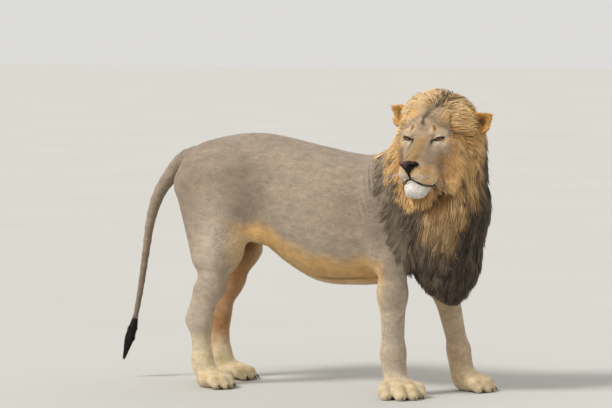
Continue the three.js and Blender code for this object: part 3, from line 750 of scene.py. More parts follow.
def lid_gap(q):
    """How far inside the opening between the lids a point is, in millimetres along the eyeball."""
    _, a, b = eye_angles(q)
    shape = 1 - np.abs(a / LID["wide"]) ** 2.2
    b = b - LID["slant"] * a
    gap = np.minimum(LID["upper"] * shape - b, LID["lower"] * shape * 0.9 + b)
    gap = np.where(np.abs(a) > 1.4, -1, gap)
    return gap * EYE_REACH


def chain(points, *radii):
    """A line of rods whose radius goes evenly from the first number to the last."""
    return rods(2, points, np.linspace(radii[0], radii[-1], len(points)))


lip_height = profile([(0, -167), (13, -171), (25, -179), (39, -188), (51, -195), (61, -199), (68, -197)])
lip_groove = both_sides(near(chain(LIP_LINE, 3.0, 5.0), (-40, -40, -240), (170, 110, -140)))
lip_fullness = both_sides(near(chain([moved(p, -7, -2, -12) for p in LIP_LINE[1:6]], 6),
                               (-60, -40, -260), (190, 130, -150)))
philtrum_groove = near(chain(PHILTRUM, 3.2), (100, -30, -210), (180, 30, -100))


def closed_face(p):
    """The skin with closed lids over the eyeballs."""
    return blended(skin_field(p), from_eye(HEAD.enter(p)) - LID["radius"], 7)


def lid_edges(p):
    q = HEAD.enter(p)
    return (np.abs(lid_gap(fold(q))) < 5) & (from_eye(q) < 27)


def open_lids(p):
    """Presses the skin between the lids in, behind the front of the eyeball."""
    q = HEAD.enter(p)
    side = np.where(q[:, 1] < 0, -1, 1)
    folded = fold(q)
    press = (LID["radius"] - LID["floor"]) * smooth(lid_gap(folded), -0.2, 1.2) * (from_eye(q) < 30)
    folded = folded - unit(folded - np.array(EYE)) * press[:, None]
    folded[:, 1] *= side
    return HEAD.leave(folded)


def face_field(p):
    """The skin with its closed lids, lips and the groove under the nose."""
    d = skin_field(p)
    q = HEAD.enter(p)
    close = (np.abs(q[:, 0] - 40) < 120) & (np.abs(q[:, 1]) < 130) & (np.abs(q[:, 2] + 90) < 170)
    if not close.any():
        return d
    q = q[close]
    face = blended(blended(d[close], whisker_pads(q), 10), lip_fullness(q), 8)
    face = -blended(-face, lip_groove(q), 3)
    face = -blended(-face, philtrum_groove(q), 3)
    d[close] = blended(face, from_eye(q) - LID["radius"], 7)
    return d


face_shape = egg((20, 0, -62), (175, 130, 196))


def in_face(p):
    q = HEAD.enter(p)
    return (q[:, 0] > -110) & (face_shape(q) < 8)


def by_eyes(p, reach=40):
    return from_eye(HEAD.enter(p)) < reach


def by_lips(p, reach):
    q = HEAD.enter(p)
    return np.minimum(lip_groove(q), philtrum_groove(q)) < reach


def in_paws(p):
    return (p[:, 2] < 95) & (p[:, 0] > -700)


def relaxed(piece, rounds, chosen):
    """Evens out the spacing of the chosen points."""
    edges = read(piece.data.edges, "vertices", 2, int)
    p = points_of(piece)
    for _ in range(rounds):
        total = np.zeros_like(p)
        count = np.zeros(len(p))
        for a, b in (edges.T, edges.T[::-1]):
            for axis in range(3):
                total[:, axis] += np.bincount(a, p[b, axis], len(p))
            count += np.bincount(a, minlength=len(p))
        middle = total / np.maximum(count, 1)[:, None]
        p[chosen] = mix(p[chosen], middle[chosen], 0.5)
    return p


FINER_ROUNDS = ((44, 16), (34, 9))  # how far round the eyes and the lips each round reaches


def make_skin():
    """The skin's net, made finer and settled again round the features of the face and on the paws."""
    cell = settings().facet / MM
    low = -ORIGIN + np.array([CAD_BOX[0][0], CAD_BOX[0][1], 0]) / MM - 20
    high = -ORIGIN + np.array(CAD_BOX[1]) / MM + 20
    points, quads = net(skin_field, low, high, cell)
    skin = quad_object("lion_skin", points, quads)
    subdivide_where(skin, lambda p: in_face(p) | in_paws(p))
    for eye_reach, lip_reach in FINER_ROUNDS:
        p = points_of(skin)
        by_eye = by_eyes(p)
        p[by_eye] = settle(closed_face, p[by_eye], 3.0, 7)
        put_points(skin, p)
        put_points(skin, relaxed(skin, 3, by_eye))
        subdivide_where(skin, lambda p: by_eyes(p, eye_reach) | by_lips(p, lip_reach))
    subdivide_where(skin, lid_edges)
    p = points_of(skin)
    fine = in_face(p) | in_paws(p)
    by_eye = by_eyes(p)
    p[by_eye] = settle(closed_face, p[by_eye], 2.0, 4)
    p[fine] = settle(face_field, p[fine], 1.5, 4)
    put_points(skin, p)
    p = relaxed(skin, 1, fine)
    p[fine] = settle(face_field, p[fine], 1.2, 4)
    p[by_eye] = open_lids(p[by_eye])
    put_points(skin, p)
    set_all(skin.data.polygons, "use_smooth", True)
    skin.data.update()
    return skin


# ---------------------------------------------------------------- markings: the colour of the coat at a point

def ripple(p, size, seed):
    """A smooth wandering value between about -1 and 1, with bumps of the given size."""
    rng = np.random.default_rng(seed)
    ways = unit(rng.normal(size=(7, 3))) * 2 * np.pi / size * rng.uniform(0.7, 1.4, (7, 1))
    return np.sin(p @ ways.T + rng.uniform(0, 6.3, 7)).sum(axis=1) / 3


def paint(rgb, shade, weight):
    weight = np.clip(weight, 0, 1)[:, None]
    return rgb + (np.asarray(shade) - rgb) * weight


def layered(rgb, *coats):
    """The colour after each coat, a pair of a shade and its weight, in order."""
    for shade, weight in coats:
        rgb = paint(rgb, shade, weight)
    return rgb


def plain(shade, p):
    return np.tile(shade, (len(p), 1))


class Colours:
    """The colours of the settings by name, each as an array."""

    def __getattr__(self, name):
        return np.array(getattr(bpy.context.scene.lion_colours, name))


c = Colours()


def body_marking(p):
    """Dusty above, golden along the belly, cream on the feet."""
    x, y, z = p.T
    aside = np.abs(y)
    wander = ripple(p, 160, 1)

    def patch(ahead, up, wide, high):
        return np.exp(-((x - ahead) / wide) ** 2 - ((z - up) / high) ** 2)

    above_belly = z - belly_line(x)
    band = mix(0.5, 1.0, smooth(x, -290, -90))
    under = 1 - smooth(above_belly + 14 * wander, 88 * band, 165 * band)
    under *= smooth(x, -330, -230) * (1 - smooth(x, 380, 440))
    # The groove under the belly, which is darkened below as painted shade in the groove.
    crease = np.exp(-((above_belly - 34 - 0.03 * (x - 60)) / 6) ** 2) * smooth(x, 20, 120)
    inner = 1 - smooth(aside, 80, 128)
    # The inner thighs: their orange-brown coat, darkened as painted shade between the thighs.
    thigh = inner * (1 - smooth(z, 640, 740)) * smooth(z, 330, 480) * smooth(-x, 180, 260)
    # The inner sides of the hind legs: their golden-orange coat, darker as painted shade from the other leg.
    inside_leg = (1 - smooth(aside, 120, 150)) * smooth(-x, 180, 260) * (1 - smooth(z, 470, 560))
    toes = np.exp(-((z - 62) / 22) ** 2) * smooth(ripple(p, 50, 3), -0.2, 0.7)
    tail = smooth(-x, 590, 640)
    tuft = smooth(0.262 - z * MM + 0.02 * ripple(p, 40, 5), 0, 0.03) * tail
    rgb = layered(
        plain(c.flank, p),
        (c.back, smooth(z - back_line(x), -90 + 20 * wander, -15) * (x < 420) * 0.7),
        (c.rump, smooth(-x, 330, 520) * smooth(z, 500, 700) * 0.55),
        (c.rump, patch(250, 800, 110, 150) * 0.6),
        (c.shin, patch(-395, 620, 80, 190) * 0.75),
        # painted shade: a darker patch that shows the thigh's form
        (c.rump * 0.72, patch(-205, 845, 75, 125) * 0.6),
        (c.rump * 0.75, smooth(x, 300, 385) * smooth(z, 560, 700) * (1 - smooth(z, 960, 1040)) * 0.6),
        (c.belly, under * 0.9),
        (c.foot, under * (1 - smooth(above_belly, 12, 34)) * 0.6),
        # painted shade in the belly's crease
        (c.groin * 0.6, crease * (1 - smooth(x, 370, 400)) * 0.75),
        # orange-brown coat of the inner thighs, darker as painted shade
        (c.groin * 0.7, thigh * 0.9),
        (c.belly, inner * (1 - smooth(z, 500, 620)) * (x > 300) * 0.55),
        (c.belly, (y > 0) * (1 - smooth(z, 420, 700)) * smooth(128 - y, -20, 10) * 0.5),
        (c.shin, (1 - smooth(z, 330, 520)) * 0.6),
        (c.foot, (x < 0) * (1 - smooth(z + 14 * wander, 130, 290)) * 0.85),
        (c.foot, (x >= 0) * (1 - smooth(z + 8 * wander, 50, 140)) * 0.8),
        # golden-orange coat inside the hind legs, darker as painted shade
        (c.groin * 1.3, inside_leg * smooth(z + 30 * wander, 90, 260) * (0.62 + 0.12 * wander)),
        (c.belly, toes * 0.6),
        (c.flank * 0.92, tail * 0.8),
        ((0.07, 0.066, 0.07), smooth(700 - z, 0, 480) * tail * 0.5),
        (c.black, tuft))
    return rgb * (1 + 0.05 * ripple(p, 60, 2) + 0.03 * ripple(p, 22, 4))[:, None]


def fold_strength(p):
    """Where fine upright wrinkles show, behind the shoulder."""
    x, y, z = p.T
    back_edge = 345 + 0.22 * (z - 900)
    across = np.exp(-((x - back_edge) / 48) ** 2) * smooth(ripple(p, 120, 8), -0.8, 0.6)
    return across * smooth(z, 700, 860) * (1 - smooth(z, 1000, 1050)) * (np.abs(y) > 30)


def blob(q, centre, size):
    return np.exp(-(((q - np.array(centre)) / np.array(size)) ** 2).sum(axis=1))


WHISKER_ROWS = [(z, [(x, 12 + 7.5 * i) for i, x in enumerate(xs)]) for z, xs in (
    (-122, (124, 117, 109, 98)), (-133, (126, 120, 112, 101, 88)), (-144, (126, 120, 112, 101, 88)),
    (-156, (124, 118, 110, 99, 86)))]


def face_marking(q):
    """The marking for points in the head's own frame, and how furry each point is."""
    x, y, z = q.T
    folded = fold(q)
    wide = np.abs(y)
    wander = ripple(q, 45, 11)
    bridge = (1 - smooth(wide, 22, 44)) * (1 - smooth(z, -10, 34)) * smooth(z, -112, -84)
    below_lip = 1 - smooth(z - lip_height(wide), -7, -3)
    chin = smooth(x + 6 * wander, 34, 58) * below_lip * (1 - smooth(wide, 44, 58))
    distance, a, b = eye_angles(folded)
    by_eye = (distance < 44) & (np.abs(a) < 1.6)
    angles = np.column_stack([a, b, a * 0])
    spot = folded - np.array((25, 51, 44))
    oval = np.exp(-(((spot[:, 1] + 0.25 * spot[:, 2]) / 8) ** 2 + (spot[:, 2] / 15) ** 2) ** 2)
    halo = np.exp(-((spot[:, 1] / 18) ** 2 + (spot[:, 2] / 24) ** 2))
    # The black rims of the lids, wider on the upper lid: black skin there, and painted shade of the brow
    # above it.
    lid = np.sqrt(np.clip(1 - (np.abs(a) / 1.25) ** 2, 0, 1)) * mix(1.9, 4.8, smooth(b, -0.05, 0.15))
    rim = by_eye * smooth(lid_gap(folded) + lid, -1.6, 0.0)
    corner = blob(folded, (15, 50, -5), (11, 9, 7)) + blob(folded, (25, 44, -20), (12, 5, 14))
    stripe = (1 - smooth(np.abs(y - PARTING(-x)) + 3 * wander, 3, 9)) * smooth(z, 40, 74)
    lips = np.maximum(1 - smooth(lip_groove(q), 0.2, 1.8), 1 - smooth(chain(PHILTRUM, 3.2)(q), 0.6, 2.8))
    rgb = layered(
        plain(c.forehead, q),
        (c.gold, smooth(-x + 0.35 * wide + 10 * wander, 70, 125) * 0.8),
        (c.gold, smooth(wide + 0.2 * (-z - 60) + 10 * wander, 88, 122) * (z < 40)),
        (c.bridge, bridge * 0.9),
        (c.bridge * 0.45, blob(folded, (108, 22, -74), (22, 9, 14)) * 0.7),
        (c.cheek, blob(folded, (30, 52, -58), (54, 21, 42)) * 0.9),
        (c.cheek * 0.66, blob(folded, (44, 44, -34), (26, 12, 34)) * 0.8),
        (c.groin * 1.15, blob(folded, (0, 84, -78), (40, 17, 26)) * 0.75),
        (c.groin, blob(folded, (-6, 92, -122), (44, 20, 28)) * 0.7),
        (c.lip, smooth(x, 20, 62) * (1 - smooth(z, -116, -98)) * 0.9),
        (c.chin, smooth(x, 96, 124) * (1 - smooth(z, -160, -138)) * 0.55),
        (c.chin, blob(q, (104, -30, -142), (30, 20, 20)) * 0.6),
        (c.chin, chin * (1 - smooth(-z, 232, 256))),
        (c.chin, by_eye * blob(angles, (0.1, -0.66, 0), (0.7, 0.13, 1)) * 0.8),
        (c.chin, by_eye * blob(angles, (0.2, 0.7, 0), (0.6, 0.2, 1)) * 0.2),
        (c.blond, halo * 0.35),
        (c.groin * 0.8, oval),
        (c.black, np.maximum(rim, corner * 1.1)),
        (c.brown * 0.3, stripe * 0.9),
        (c.forehead * 0.62, blob(q, (12, 0, 52), (40, 30, 40)) * smooth(wander, -0.6, 1) * 0.7),
        (c.black, lips))
    for height, row in WHISKER_ROWS:
        for ahead, aside in row:
            root = np.linalg.norm((folded - (ahead, aside, height - 0.12 * aside)) / (12, 1, 0.7), axis=1)
            rgb = paint(rgb, c.brown * 0.35, (1 - smooth(root, 2.0, 4.2)) * 0.9)
    rgb = rgb * (1 + 0.05 * wander + 0.06 * ripple(q, 14, 12))[:, None]
    rgb = paint(rgb, c.black, 1 - smooth(NOSE_PAD(q), 0, 2.5))
    return rgb, (1 - rim) * (1 - lips)


PARTING = profile([(-60, 0), (0, 6), (60, 26), (130, 48), (240, 66)])
MANE_EDGE = profile([(440, 590), (484, 550), (588, 520), (672, 490), (799, 452), (925, 412), (1052, 386)])
gold_zone = near(melt(
    40,
    HEAD.field(egg((-86, 0, -40), (112, 226, 222))),
    HEAD.field(egg((-140, 10, 90), (118, 190, 112))),
    HEAD.field(egg((-120, -120, 10), (100, 110, 150))),
    cone((660, -180, 870), (676, -176, 735), 112, 70),
    cone((676, -176, 735), (690, -160, 640), 70, 16)), (200, -600, 400), (1000, 500, 1600))


def on_shoulder(p):
    """Where mane hair grows from the shoulder and withers, behind the deep mane."""
    back = smooth(p[:, 0] - MANE_EDGE(p[:, 2]), -4, 22)
    return back * smooth(p[:, 2], 590, 640) * (face_shape(HEAD.enter(p)) > 0)


def gold_weight(p):
    return 1 - smooth(gold_zone(p) + 22 * ripple(p, 90, 21) + 10 * ripple(p, 30, 22), -22, 22)


def mane_marking(p):
    """Gold round the face and on the bib, blond on the crown, and blackish on neck and chest."""
    x, _, z = p.T
    q = HEAD.enter(p)
    ahead, aside, up = q.T
    strands = smooth(ripple(p, 70, 23) + 0.6 * ripple(p, 25, 24), -0.5, 1.0)
    # painted sunlight: the lighter brown strands are strong towards the rear, where the sun falls, and
    # fainter in front
    sunny = 0.45 + 0.55 * smooth(720 - x, 0, 200)
    warm = layered(
        plain(c.gold, p),
        (c.blond, smooth(up - 0.35 * aside, 60, 150) * 0.25),
        (c.groin * 0.75, smooth(ripple(p, 60, 25), 0.1, 1.2) * 0.5),
        (c.blond, smooth(ripple(p, 45, 26), 0.3, 1.2) * 0.5),
        # blond tips on the lion's right side of the ruff, made stronger there as painted sunlight
        (c.blond, smooth(-aside, 90, 150) * 0.5),
        # Lower on the bib the gold turns orange-brown and then brown: the bib's own brown, and painted shade
        # under the head.
        (c.groin * 0.8, (1 - smooth(z, 820, 960)) * 0.62),
        (c.brown, (1 - smooth(z, 640, 860)) * 0.5))
    return layered(
        plain(c.dark, p),
        # lighter brown strands, stronger in the painted sunlight
        (c.brown, strands * 0.8 * sunny),
        (c.brown, (1 - smooth(x, 420, 560)) * 0.7),
        (warm, gold_weight(p)),
        (c.dark, smooth(-ahead, 235, 285) * smooth(up, 0, 60) * 0.8))


def marking(p):
    """The whole animal's marking, and how furry it is."""
    q = HEAD.enter(p)
    rgb = body_marking(p)
    fur = np.ones(len(p))
    on_head = (q[:, 0] > -230) & (np.linalg.norm(q, axis=1) < HEAD_REACH)
    if on_head.any():
        face, furry = face_marking(q[on_head])
        blend = (1 - smooth(face_shape(q[on_head]), 2, 16))[:, None]
        rgb[on_head] = mix(rgb[on_head], face, blend)
        fur[on_head] = mix(np.ones(len(face)), furry, blend[:, 0])
    under_mane = np.maximum(1 - smooth(mane(p) + settings().mane_depth / MM, -2, 14), on_shoulder(p))
    under_mane *= smooth(face_shape(q), -6, 10)
    # The skin under the mane takes the mane's colour, darkened to 0.6 as painted shade under the locks.
    rgb = rgb + (mane_marking(p) * 0.6 - rgb) * under_mane[:, None]
    return rgb, fur


# ---------------------------------------------------------------- lie of the coat

def lie(p):
    """The way that the hair points: back along the body, down the legs, and away from the nose."""
    x, _, z = p.T
    back = np.tile((-1.0, 0.0, -0.3), (len(p), 1))
    down = np.tile((-0.12, 0.0, -1.0), (len(p), 1))
    low = 1 - smooth(z, 470, 680) * (1 - 0.4 * smooth(x, 380, 460))
    way = back + (down - back) * low[:, None]
    foot = smooth(90 - z, 0, 30)[:, None] * (x > -700)[:, None]
    way = way + (np.array((0.6, 0.0, -0.6)) - way) * foot
    tail = smooth(-x, 575, 620)[:, None]
    near_tail = np.argmin(((p[:, None, :] - TAIL[None, :-1]) ** 2).sum(-1), axis=1) if tail.any() else 0
    way = way + (unit(np.diff(TAIL, axis=0))[near_tail] - way) * tail
    q = HEAD.enter(p)
    face = (smooth(q[:, 0], -170, -90) * (np.linalg.norm(q, axis=1) < HEAD_REACH))[:, None]
    away = unit(q - np.array((150, 0, -90))) + np.column_stack([-0.4 + 0 * x, 0 * x, 0 * x])
    away[:, 2] += smooth(q[:, 2], -30, 40) * 0.5 - smooth(-q[:, 2], 150, 200) * 0.7
    way = way + (away @ HEAD.axes.T - way) * face
    return unit(way)


def mane_lie(p):
    """The fall of the mane: out and back from the face, up over the crown, and then down."""
    q = HEAD.enter(p)
    x, y, z = q.T
    from_face = unit(np.column_stack([0 * x, y, z + 40]))
    ruff = from_face * np.array((0, 1, 0.8)) + np.array((-0.75, 0, 0))
    ruff[:, 2] -= 1.25 * smooth(-z, -70, 110)
    crown = smooth(z, 50, 120)[:, None]
    aside = np.clip((y - PARTING(-x)) / 34, -1, 1)
    over = np.column_stack([-0.55 + 0 * x, 0.85 * aside, 0.55 - 0.006 * np.abs(y)])
    ruff = ruff + (over - ruff) * crown
    ruff = unit(ruff) @ HEAD.axes.T
    fall = np.tile((-0.16, 0.0, -1.0), (len(p), 1))
    fall[:, 0] -= 0.5 * smooth(560 - p[:, 0], 0, 160)
    fall[:, 1] += 0.35 * np.sign(p[:, 1]) * smooth(p[:, 2], 960, 1060)
    fall[:, 0] += 0.25 * smooth(p[:, 0], 700, 800)
    close = 1 - smooth(crown_and_ruff(p), -8, 60)
    close *= 1 - smooth(-z, 190, 330)
    close *= 1 - 0.8 * smooth(-x, 190, 260)
    return unit(fall + (ruff - fall) * close[:, None])


# ---------------------------------------------------------------- tufts and locks, tapered three-sided blades

PATCH = 0.003  # the share of the bake's square that one lock takes


def blade_corners(count, body_rings):
    """Three corners for each face of a number of closed blades, each with a point after its last ring."""
    each = body_rings * 3 + 1
    faces = [(0, 1, 2)]
    for i in range(body_rings - 1):
        for k in range(3):
            a, b = i * 3 + k, i * 3 + (k + 1) % 3
            faces += [(a, a + 3, b + 3), (a, b + 3, b)]
    last = (body_rings - 1) * 3
    faces += [(last + k, each - 1, last + (k + 1) % 3) for k in range(3)]
    return (np.array(faces)[None] + (np.arange(count) * each)[:, None, None]).reshape(-1)


def triangle_mesh(name, points, corners):
    """A smooth mesh from points in the plan's millimetres and three corners for each face."""
    mesh = bpy.data.meshes.new(name)
    mesh.vertices.add(len(points))
    mesh.vertices.foreach_set("co", to_metres(points).ravel())
    mesh.loops.add(len(corners))
    mesh.loops.foreach_set("vertex_index", corners)
    mesh.polygons.add(len(corners) // 3)
    mesh.polygons.foreach_set("loop_start", np.arange(0, len(corners), 3))
    set_all(mesh.polygons, "use_smooth", True)
    mesh.update(calc_edges=True)
    return mesh


def lock_mesh(name, path, normal, width, root_rgb, tip_rgb, spots, taper, thick=0.55, roll=0.55):
    """One closed blade per path. path is (locks, rings, 3), and the last ring is the tip's point.

    roll is how far the shading turns towards the blade's sides, so that locks shade softly."""
    count, rings = path.shape[:2]
    body_rings = rings - 1
    ahead = np.gradient(path, axis=1)
    beside = unit(np.cross(ahead, normal))
    above = unit(np.cross(beside, ahead))
    t = np.linspace(0, 1, rings)  # from root to tip
    half = width[:, None, None] * 0.5 * taper(t)[None, :, None]
    ring = np.stack([path + beside * half, path + above * half * thick * 2, path - beside * half], axis=2)

    def per_corner(rings_of_three, tip):
        return np.concatenate([rings_of_three[:, :body_rings].reshape(count, -1, 3), tip[:, -1:]], axis=1)

    corners = blade_corners(count, body_rings)
    mesh = triangle_mesh(name, per_corner(ring, path).reshape(-1, 3), corners)
    facing = unit(np.stack([above + beside * roll, above, above - beside * roll], axis=2))
    facing = per_corner(facing, above)
    mesh.normals_split_custom_set_from_vertices(facing.reshape(-1, 3).tolist())
    along = np.concatenate([np.repeat(t[:body_rings], 3), [1.0]])
    rgb = root_rgb[:, None] + (tip_rgb - root_rgb)[:, None] * along[None, :, None]
    rgba = np.concatenate([rgb, np.broadcast_to(along[None, :, None], rgb[..., :1].shape)], axis=2)
    layer = mesh.color_attributes.new("marking", "FLOAT_COLOR", "POINT")
    layer.data.foreach_set("color", rgba.ravel())
    sideways = np.concatenate([np.tile((0, 0.5, 1), body_rings), [0.5]])
    steps = np.linalg.norm(np.diff(path, axis=1), axis=2)
    gone = np.concatenate([np.zeros((count, 1)), np.cumsum(steps, axis=1)], 1)
    strand = np.empty((count, len(along), 3))
    strand[:, :, 0] = sideways * width[:, None]
    strand[:, :, 1] = np.concatenate([np.repeat(gone[:, :body_rings], 3, axis=1), gone[:, -1:]], axis=1)
    strand[:, :, 2] = 5.0 * np.arange(count)[:, None]
    mesh.attributes.new("strand", "FLOAT_VECTOR", "POINT").data.foreach_set("vector", strand.ravel())
    patch = np.column_stack([sideways, along]) * PATCH
    uv = (spots[:, None] * (1 - PATCH) + patch[None]).reshape(-1, 2)[corners]
    mesh.uv_layers.new(name="OFBake").data.foreach_set("uv", uv.ravel())
    return new_object(name, mesh)


def turned_spot(p, middle, axes, low, high):
    """The place of a point on the skin unrolled round a line: the turn about it, and how far along."""
    q = (p - np.array(middle)) @ np.array(axes).T
    turn = np.arctan2(q[:, 1], q[:, 0]) / (2 * np.pi) + 0.5
    return np.column_stack([turn, np.clip((q[:, 2] - low) / (high - low), 0, 1)])


BODY_AXES = ((0, 0, 1), (0, 1, 0), (1, 0, 0))
LEG_AXES = ((1, 0, 0), (0, 1, 0), (0, 0, 1))


def face_spot(q):
    return turned_spot(q, (0, 0, -60), ((0, 1, 0), (0, 0, 1), (1, 0, 0)), -140, 160)


def skin_samples(skin, seed):
    """A way to pick points on the skin: the corners, area and normal of each of its triangles."""
    mesh = skin.data
    mesh.calc_loop_triangles()
    tri = read(mesh.loop_triangles, "vertices", kind=int)
    p = points_of(skin)
    normal = read(mesh.vertices, "normal")
    area = np.linalg.norm(np.cross(p[tri[:, 1]] - p[tri[:, 0]], p[tri[:, 2]] - p[tri[:, 0]]), axis=1) / 2
    middle = p[tri].mean(axis=1)
    rng = np.random.default_rng(seed)

    def pick(count, weight):
        odds = area * weight(middle)
        if count < 1 or odds.sum() <= 0:
            return np.empty((0, 3)), np.empty((0, 3))
        which = rng.choice(len(tri), count, p=odds / odds.sum())
        r1, r2 = np.sqrt(rng.random(count)), rng.random(count)
        part = np.column_stack([1 - r1, r1 * (1 - r2), r1 * r2])[:, :, None]
        return (p[tri[which]] * part).sum(axis=1), unit((normal[tri[which]] * part).sum(axis=1))
    return pick


UNRULY = 0.22  # how much short tufts stray from the lie of the coat


def short_tufts(name, roots, normal, reach, width, lift, spots, seed):
    """Short blades that lie along the coat and stand off the skin by an angle."""
    rng = np.random.default_rng(seed)
    way = lie(roots) + rng.normal(0, UNRULY, roots.shape)
    way = unit(way - normal * (way * normal).sum(axis=1, keepdims=True))
    rise = lift[:, None]
    reach = reach[:, None]
    start = roots - normal * 1.0 - way * reach * 0.12
    middle = start + (way * np.cos(rise) + normal * np.sin(rise)) * reach * 0.5 + normal * 0.4
    tip = start + (way * np.cos(rise * 0.8) + normal * np.sin(rise * 0.8)) * reach
    path = np.stack([start, middle, tip], axis=1)
    path[:, :, 2] = np.maximum(path[:, :, 2], 2)
    # Each tuft is painted about 5 % lighter than the skin below, painted light that offsets the shade the
    # tufts cast on each other; the tip is lighter again.
    rgb = marking(roots)[0] * (1.05 + rng.normal(0, 0.05, (len(roots), 1)))
    return lock_mesh(name, path, normal[:, None, :] + 0 * path, width, np.clip(rgb, 0, 1),
                     np.clip(rgb * 1.08 + 0.004, 0, 1), spots,
                     lambda t: np.where(t < 0.25, 1.0, np.where(t < 0.9, 0.8, 0.0)), thick=0.35, roll=0.2)


def at_edge(p):
    """Where the coat breaks the outline: along the back, the belly, behind the legs and under the tail."""
    x, _, z = p.T
    edge = 0.6 * smooth(z - back_line(x), -60, -12) * (x < 430)
    edge = np.maximum(edge, (1 - smooth(z - belly_line(x), 12, 60)) * (x > -350) * (x < 480))
    hind = (z < 760) & (z > 300) & (x < -330)
    edge = np.maximum(edge, hind * 0.15)
    elbow = (x > 360) & (x < 470) & (z > 380) & (z < 720)
    return np.maximum(edge, elbow * 0.7)


# ---------------------------------------------------------------- mane

LOCK_RINGS = 6  # from root to tip


def combed(roots, normal, reach, sink, proud, rng, way_of, rings=LOCK_RINGS, jitter=0.16):
    """Locks that start under the skin and rise through the outline to lie along its outside.

    sink is how deep each root is and proud how far its tip stands out, both measured from the outline."""
    path, normals = [roots - normal * 3], [normal]
    p = roots
    lean = rng.normal(0, jitter, roots.shape)
    step = (reach / (rings - 1))[:, None]
    for i in range(1, rings):
        t = i / (rings - 1)
        p = p + unit(way_of(p) + lean + rng.normal(0, jitter * 0.4, roots.shape)) * step
        d, g = slope(outline, p)
        target = mix(-sink, proud, t ** 0.75)
        limit = 0.75 * step[:, 0]
        move = np.clip((d - target) / np.maximum(0.2, (g * g).sum(axis=1)), -limit, limit)
        p = p - g * move[:, None]
        path.append(p)
        normals.append(unit(g))
    return np.stack(path, axis=1), np.stack(normals, axis=1)


def gathered(path, every, pull, rng):
    """Draws each lock's tip towards the nearest of a few leading locks, so that they hang in strands."""
    leaders = rng.choice(len(path), max(1, len(path) // every), replace=False)
    nearest = np.empty(len(path), int)
    for some in np.array_split(np.arange(len(path)), max(1, len(path) // 1500)):
        gap = ((path[some, None, 0] - path[None, leaders, 0]) ** 2).sum(-1)
        nearest[some] = gap.argmin(axis=1)
    lead = path[leaders][nearest]
    t = np.linspace(0, 1, path.shape[1])[None, :, None]
    offset = (path[:, :1] - lead[:, :1]) * (1 - 0.7 * t)
    close = 1 - smooth(np.linalg.norm(path[:, 0] - lead[:, 0], axis=1), 30, 60)
    weight = pull * t ** 1.1 * close[:, None, None]
    return mix(path, lead + offset, weight), nearest


def mane_reach(roots, q, rng):
    """Long on neck and chest, and shorter round the face, on the crown and at the mane's rear edge."""
    reach = bpy.context.scene.lion_coat.lock_length / MM
    reach = reach * mix(0.42, 1.0, smooth(clearing(roots), 0, 70)) * rng.uniform(0.55, 1.2, len(roots))
    reach *= mix(1.0, 0.66, smooth(q[:, 2], 40, 120))
    reach *= mix(1.0, 0.62, 1 - smooth(roots[:, 0] - MANE_EDGE(roots[:, 2]), 0, 90))
    return reach * mix(1.0, 0.78, smooth(640 - roots[:, 2], 0, 150))


def mane_colours(q, shown, strand, rng):
    """The colour of each lock at root and tip. q is its root in the head's frame, and shown its middle."""
    rgb = mane_marking(shown) * np.exp(0.2 * strand + rng.normal(0, 0.2, len(q)))[:, None]
    brow = smooth(q[:, 0], -90, -40) * smooth(q[:, 2], 70, 90) * (1 - smooth(np.abs(q[:, 1] - 20), 20, 52))
    part = (1 - smooth(np.abs(q[:, 1] - PARTING(-q[:, 0])) + rng.normal(0, 2.5, len(q)), 2, 8))
    part *= smooth(q[:, 2], 50, 80)
    gold = gold_weight(shown) * (1 - part)
    rgb = layered(rgb, (c.forehead * 0.9, brow * 0.6), (c.dark * 1.2, part * 0.9))
    root = paint(rgb * 0.78, c.groin * 1.25, gold * mix(0.5, 0.78, smooth(q[:, 2], 20, 70)))
    pale = np.clip(0.3 + 0.2 * strand + 0.4 * smooth(q[:, 2] - 0.3 * q[:, 1], 60, 140), 0, 0.85)
    sunny = (1 - gold) * (1 - part) * np.clip(0.3 + 0.35 * strand, 0, 0.95)
    # painted sunlight: the brown tips are stronger towards the rear, where the sun falls
    sunny *= 0.5 + 0.6 * smooth(720 - shown[:, 0], 0, 200)
    tip = layered(rgb, (c.blond, gold * pale), (c.brown * 1.15, sunny))
    return np.clip(root, 0, 1), np.clip(tip, 0, 1)


LOCKS_PER_PIECE = 7200


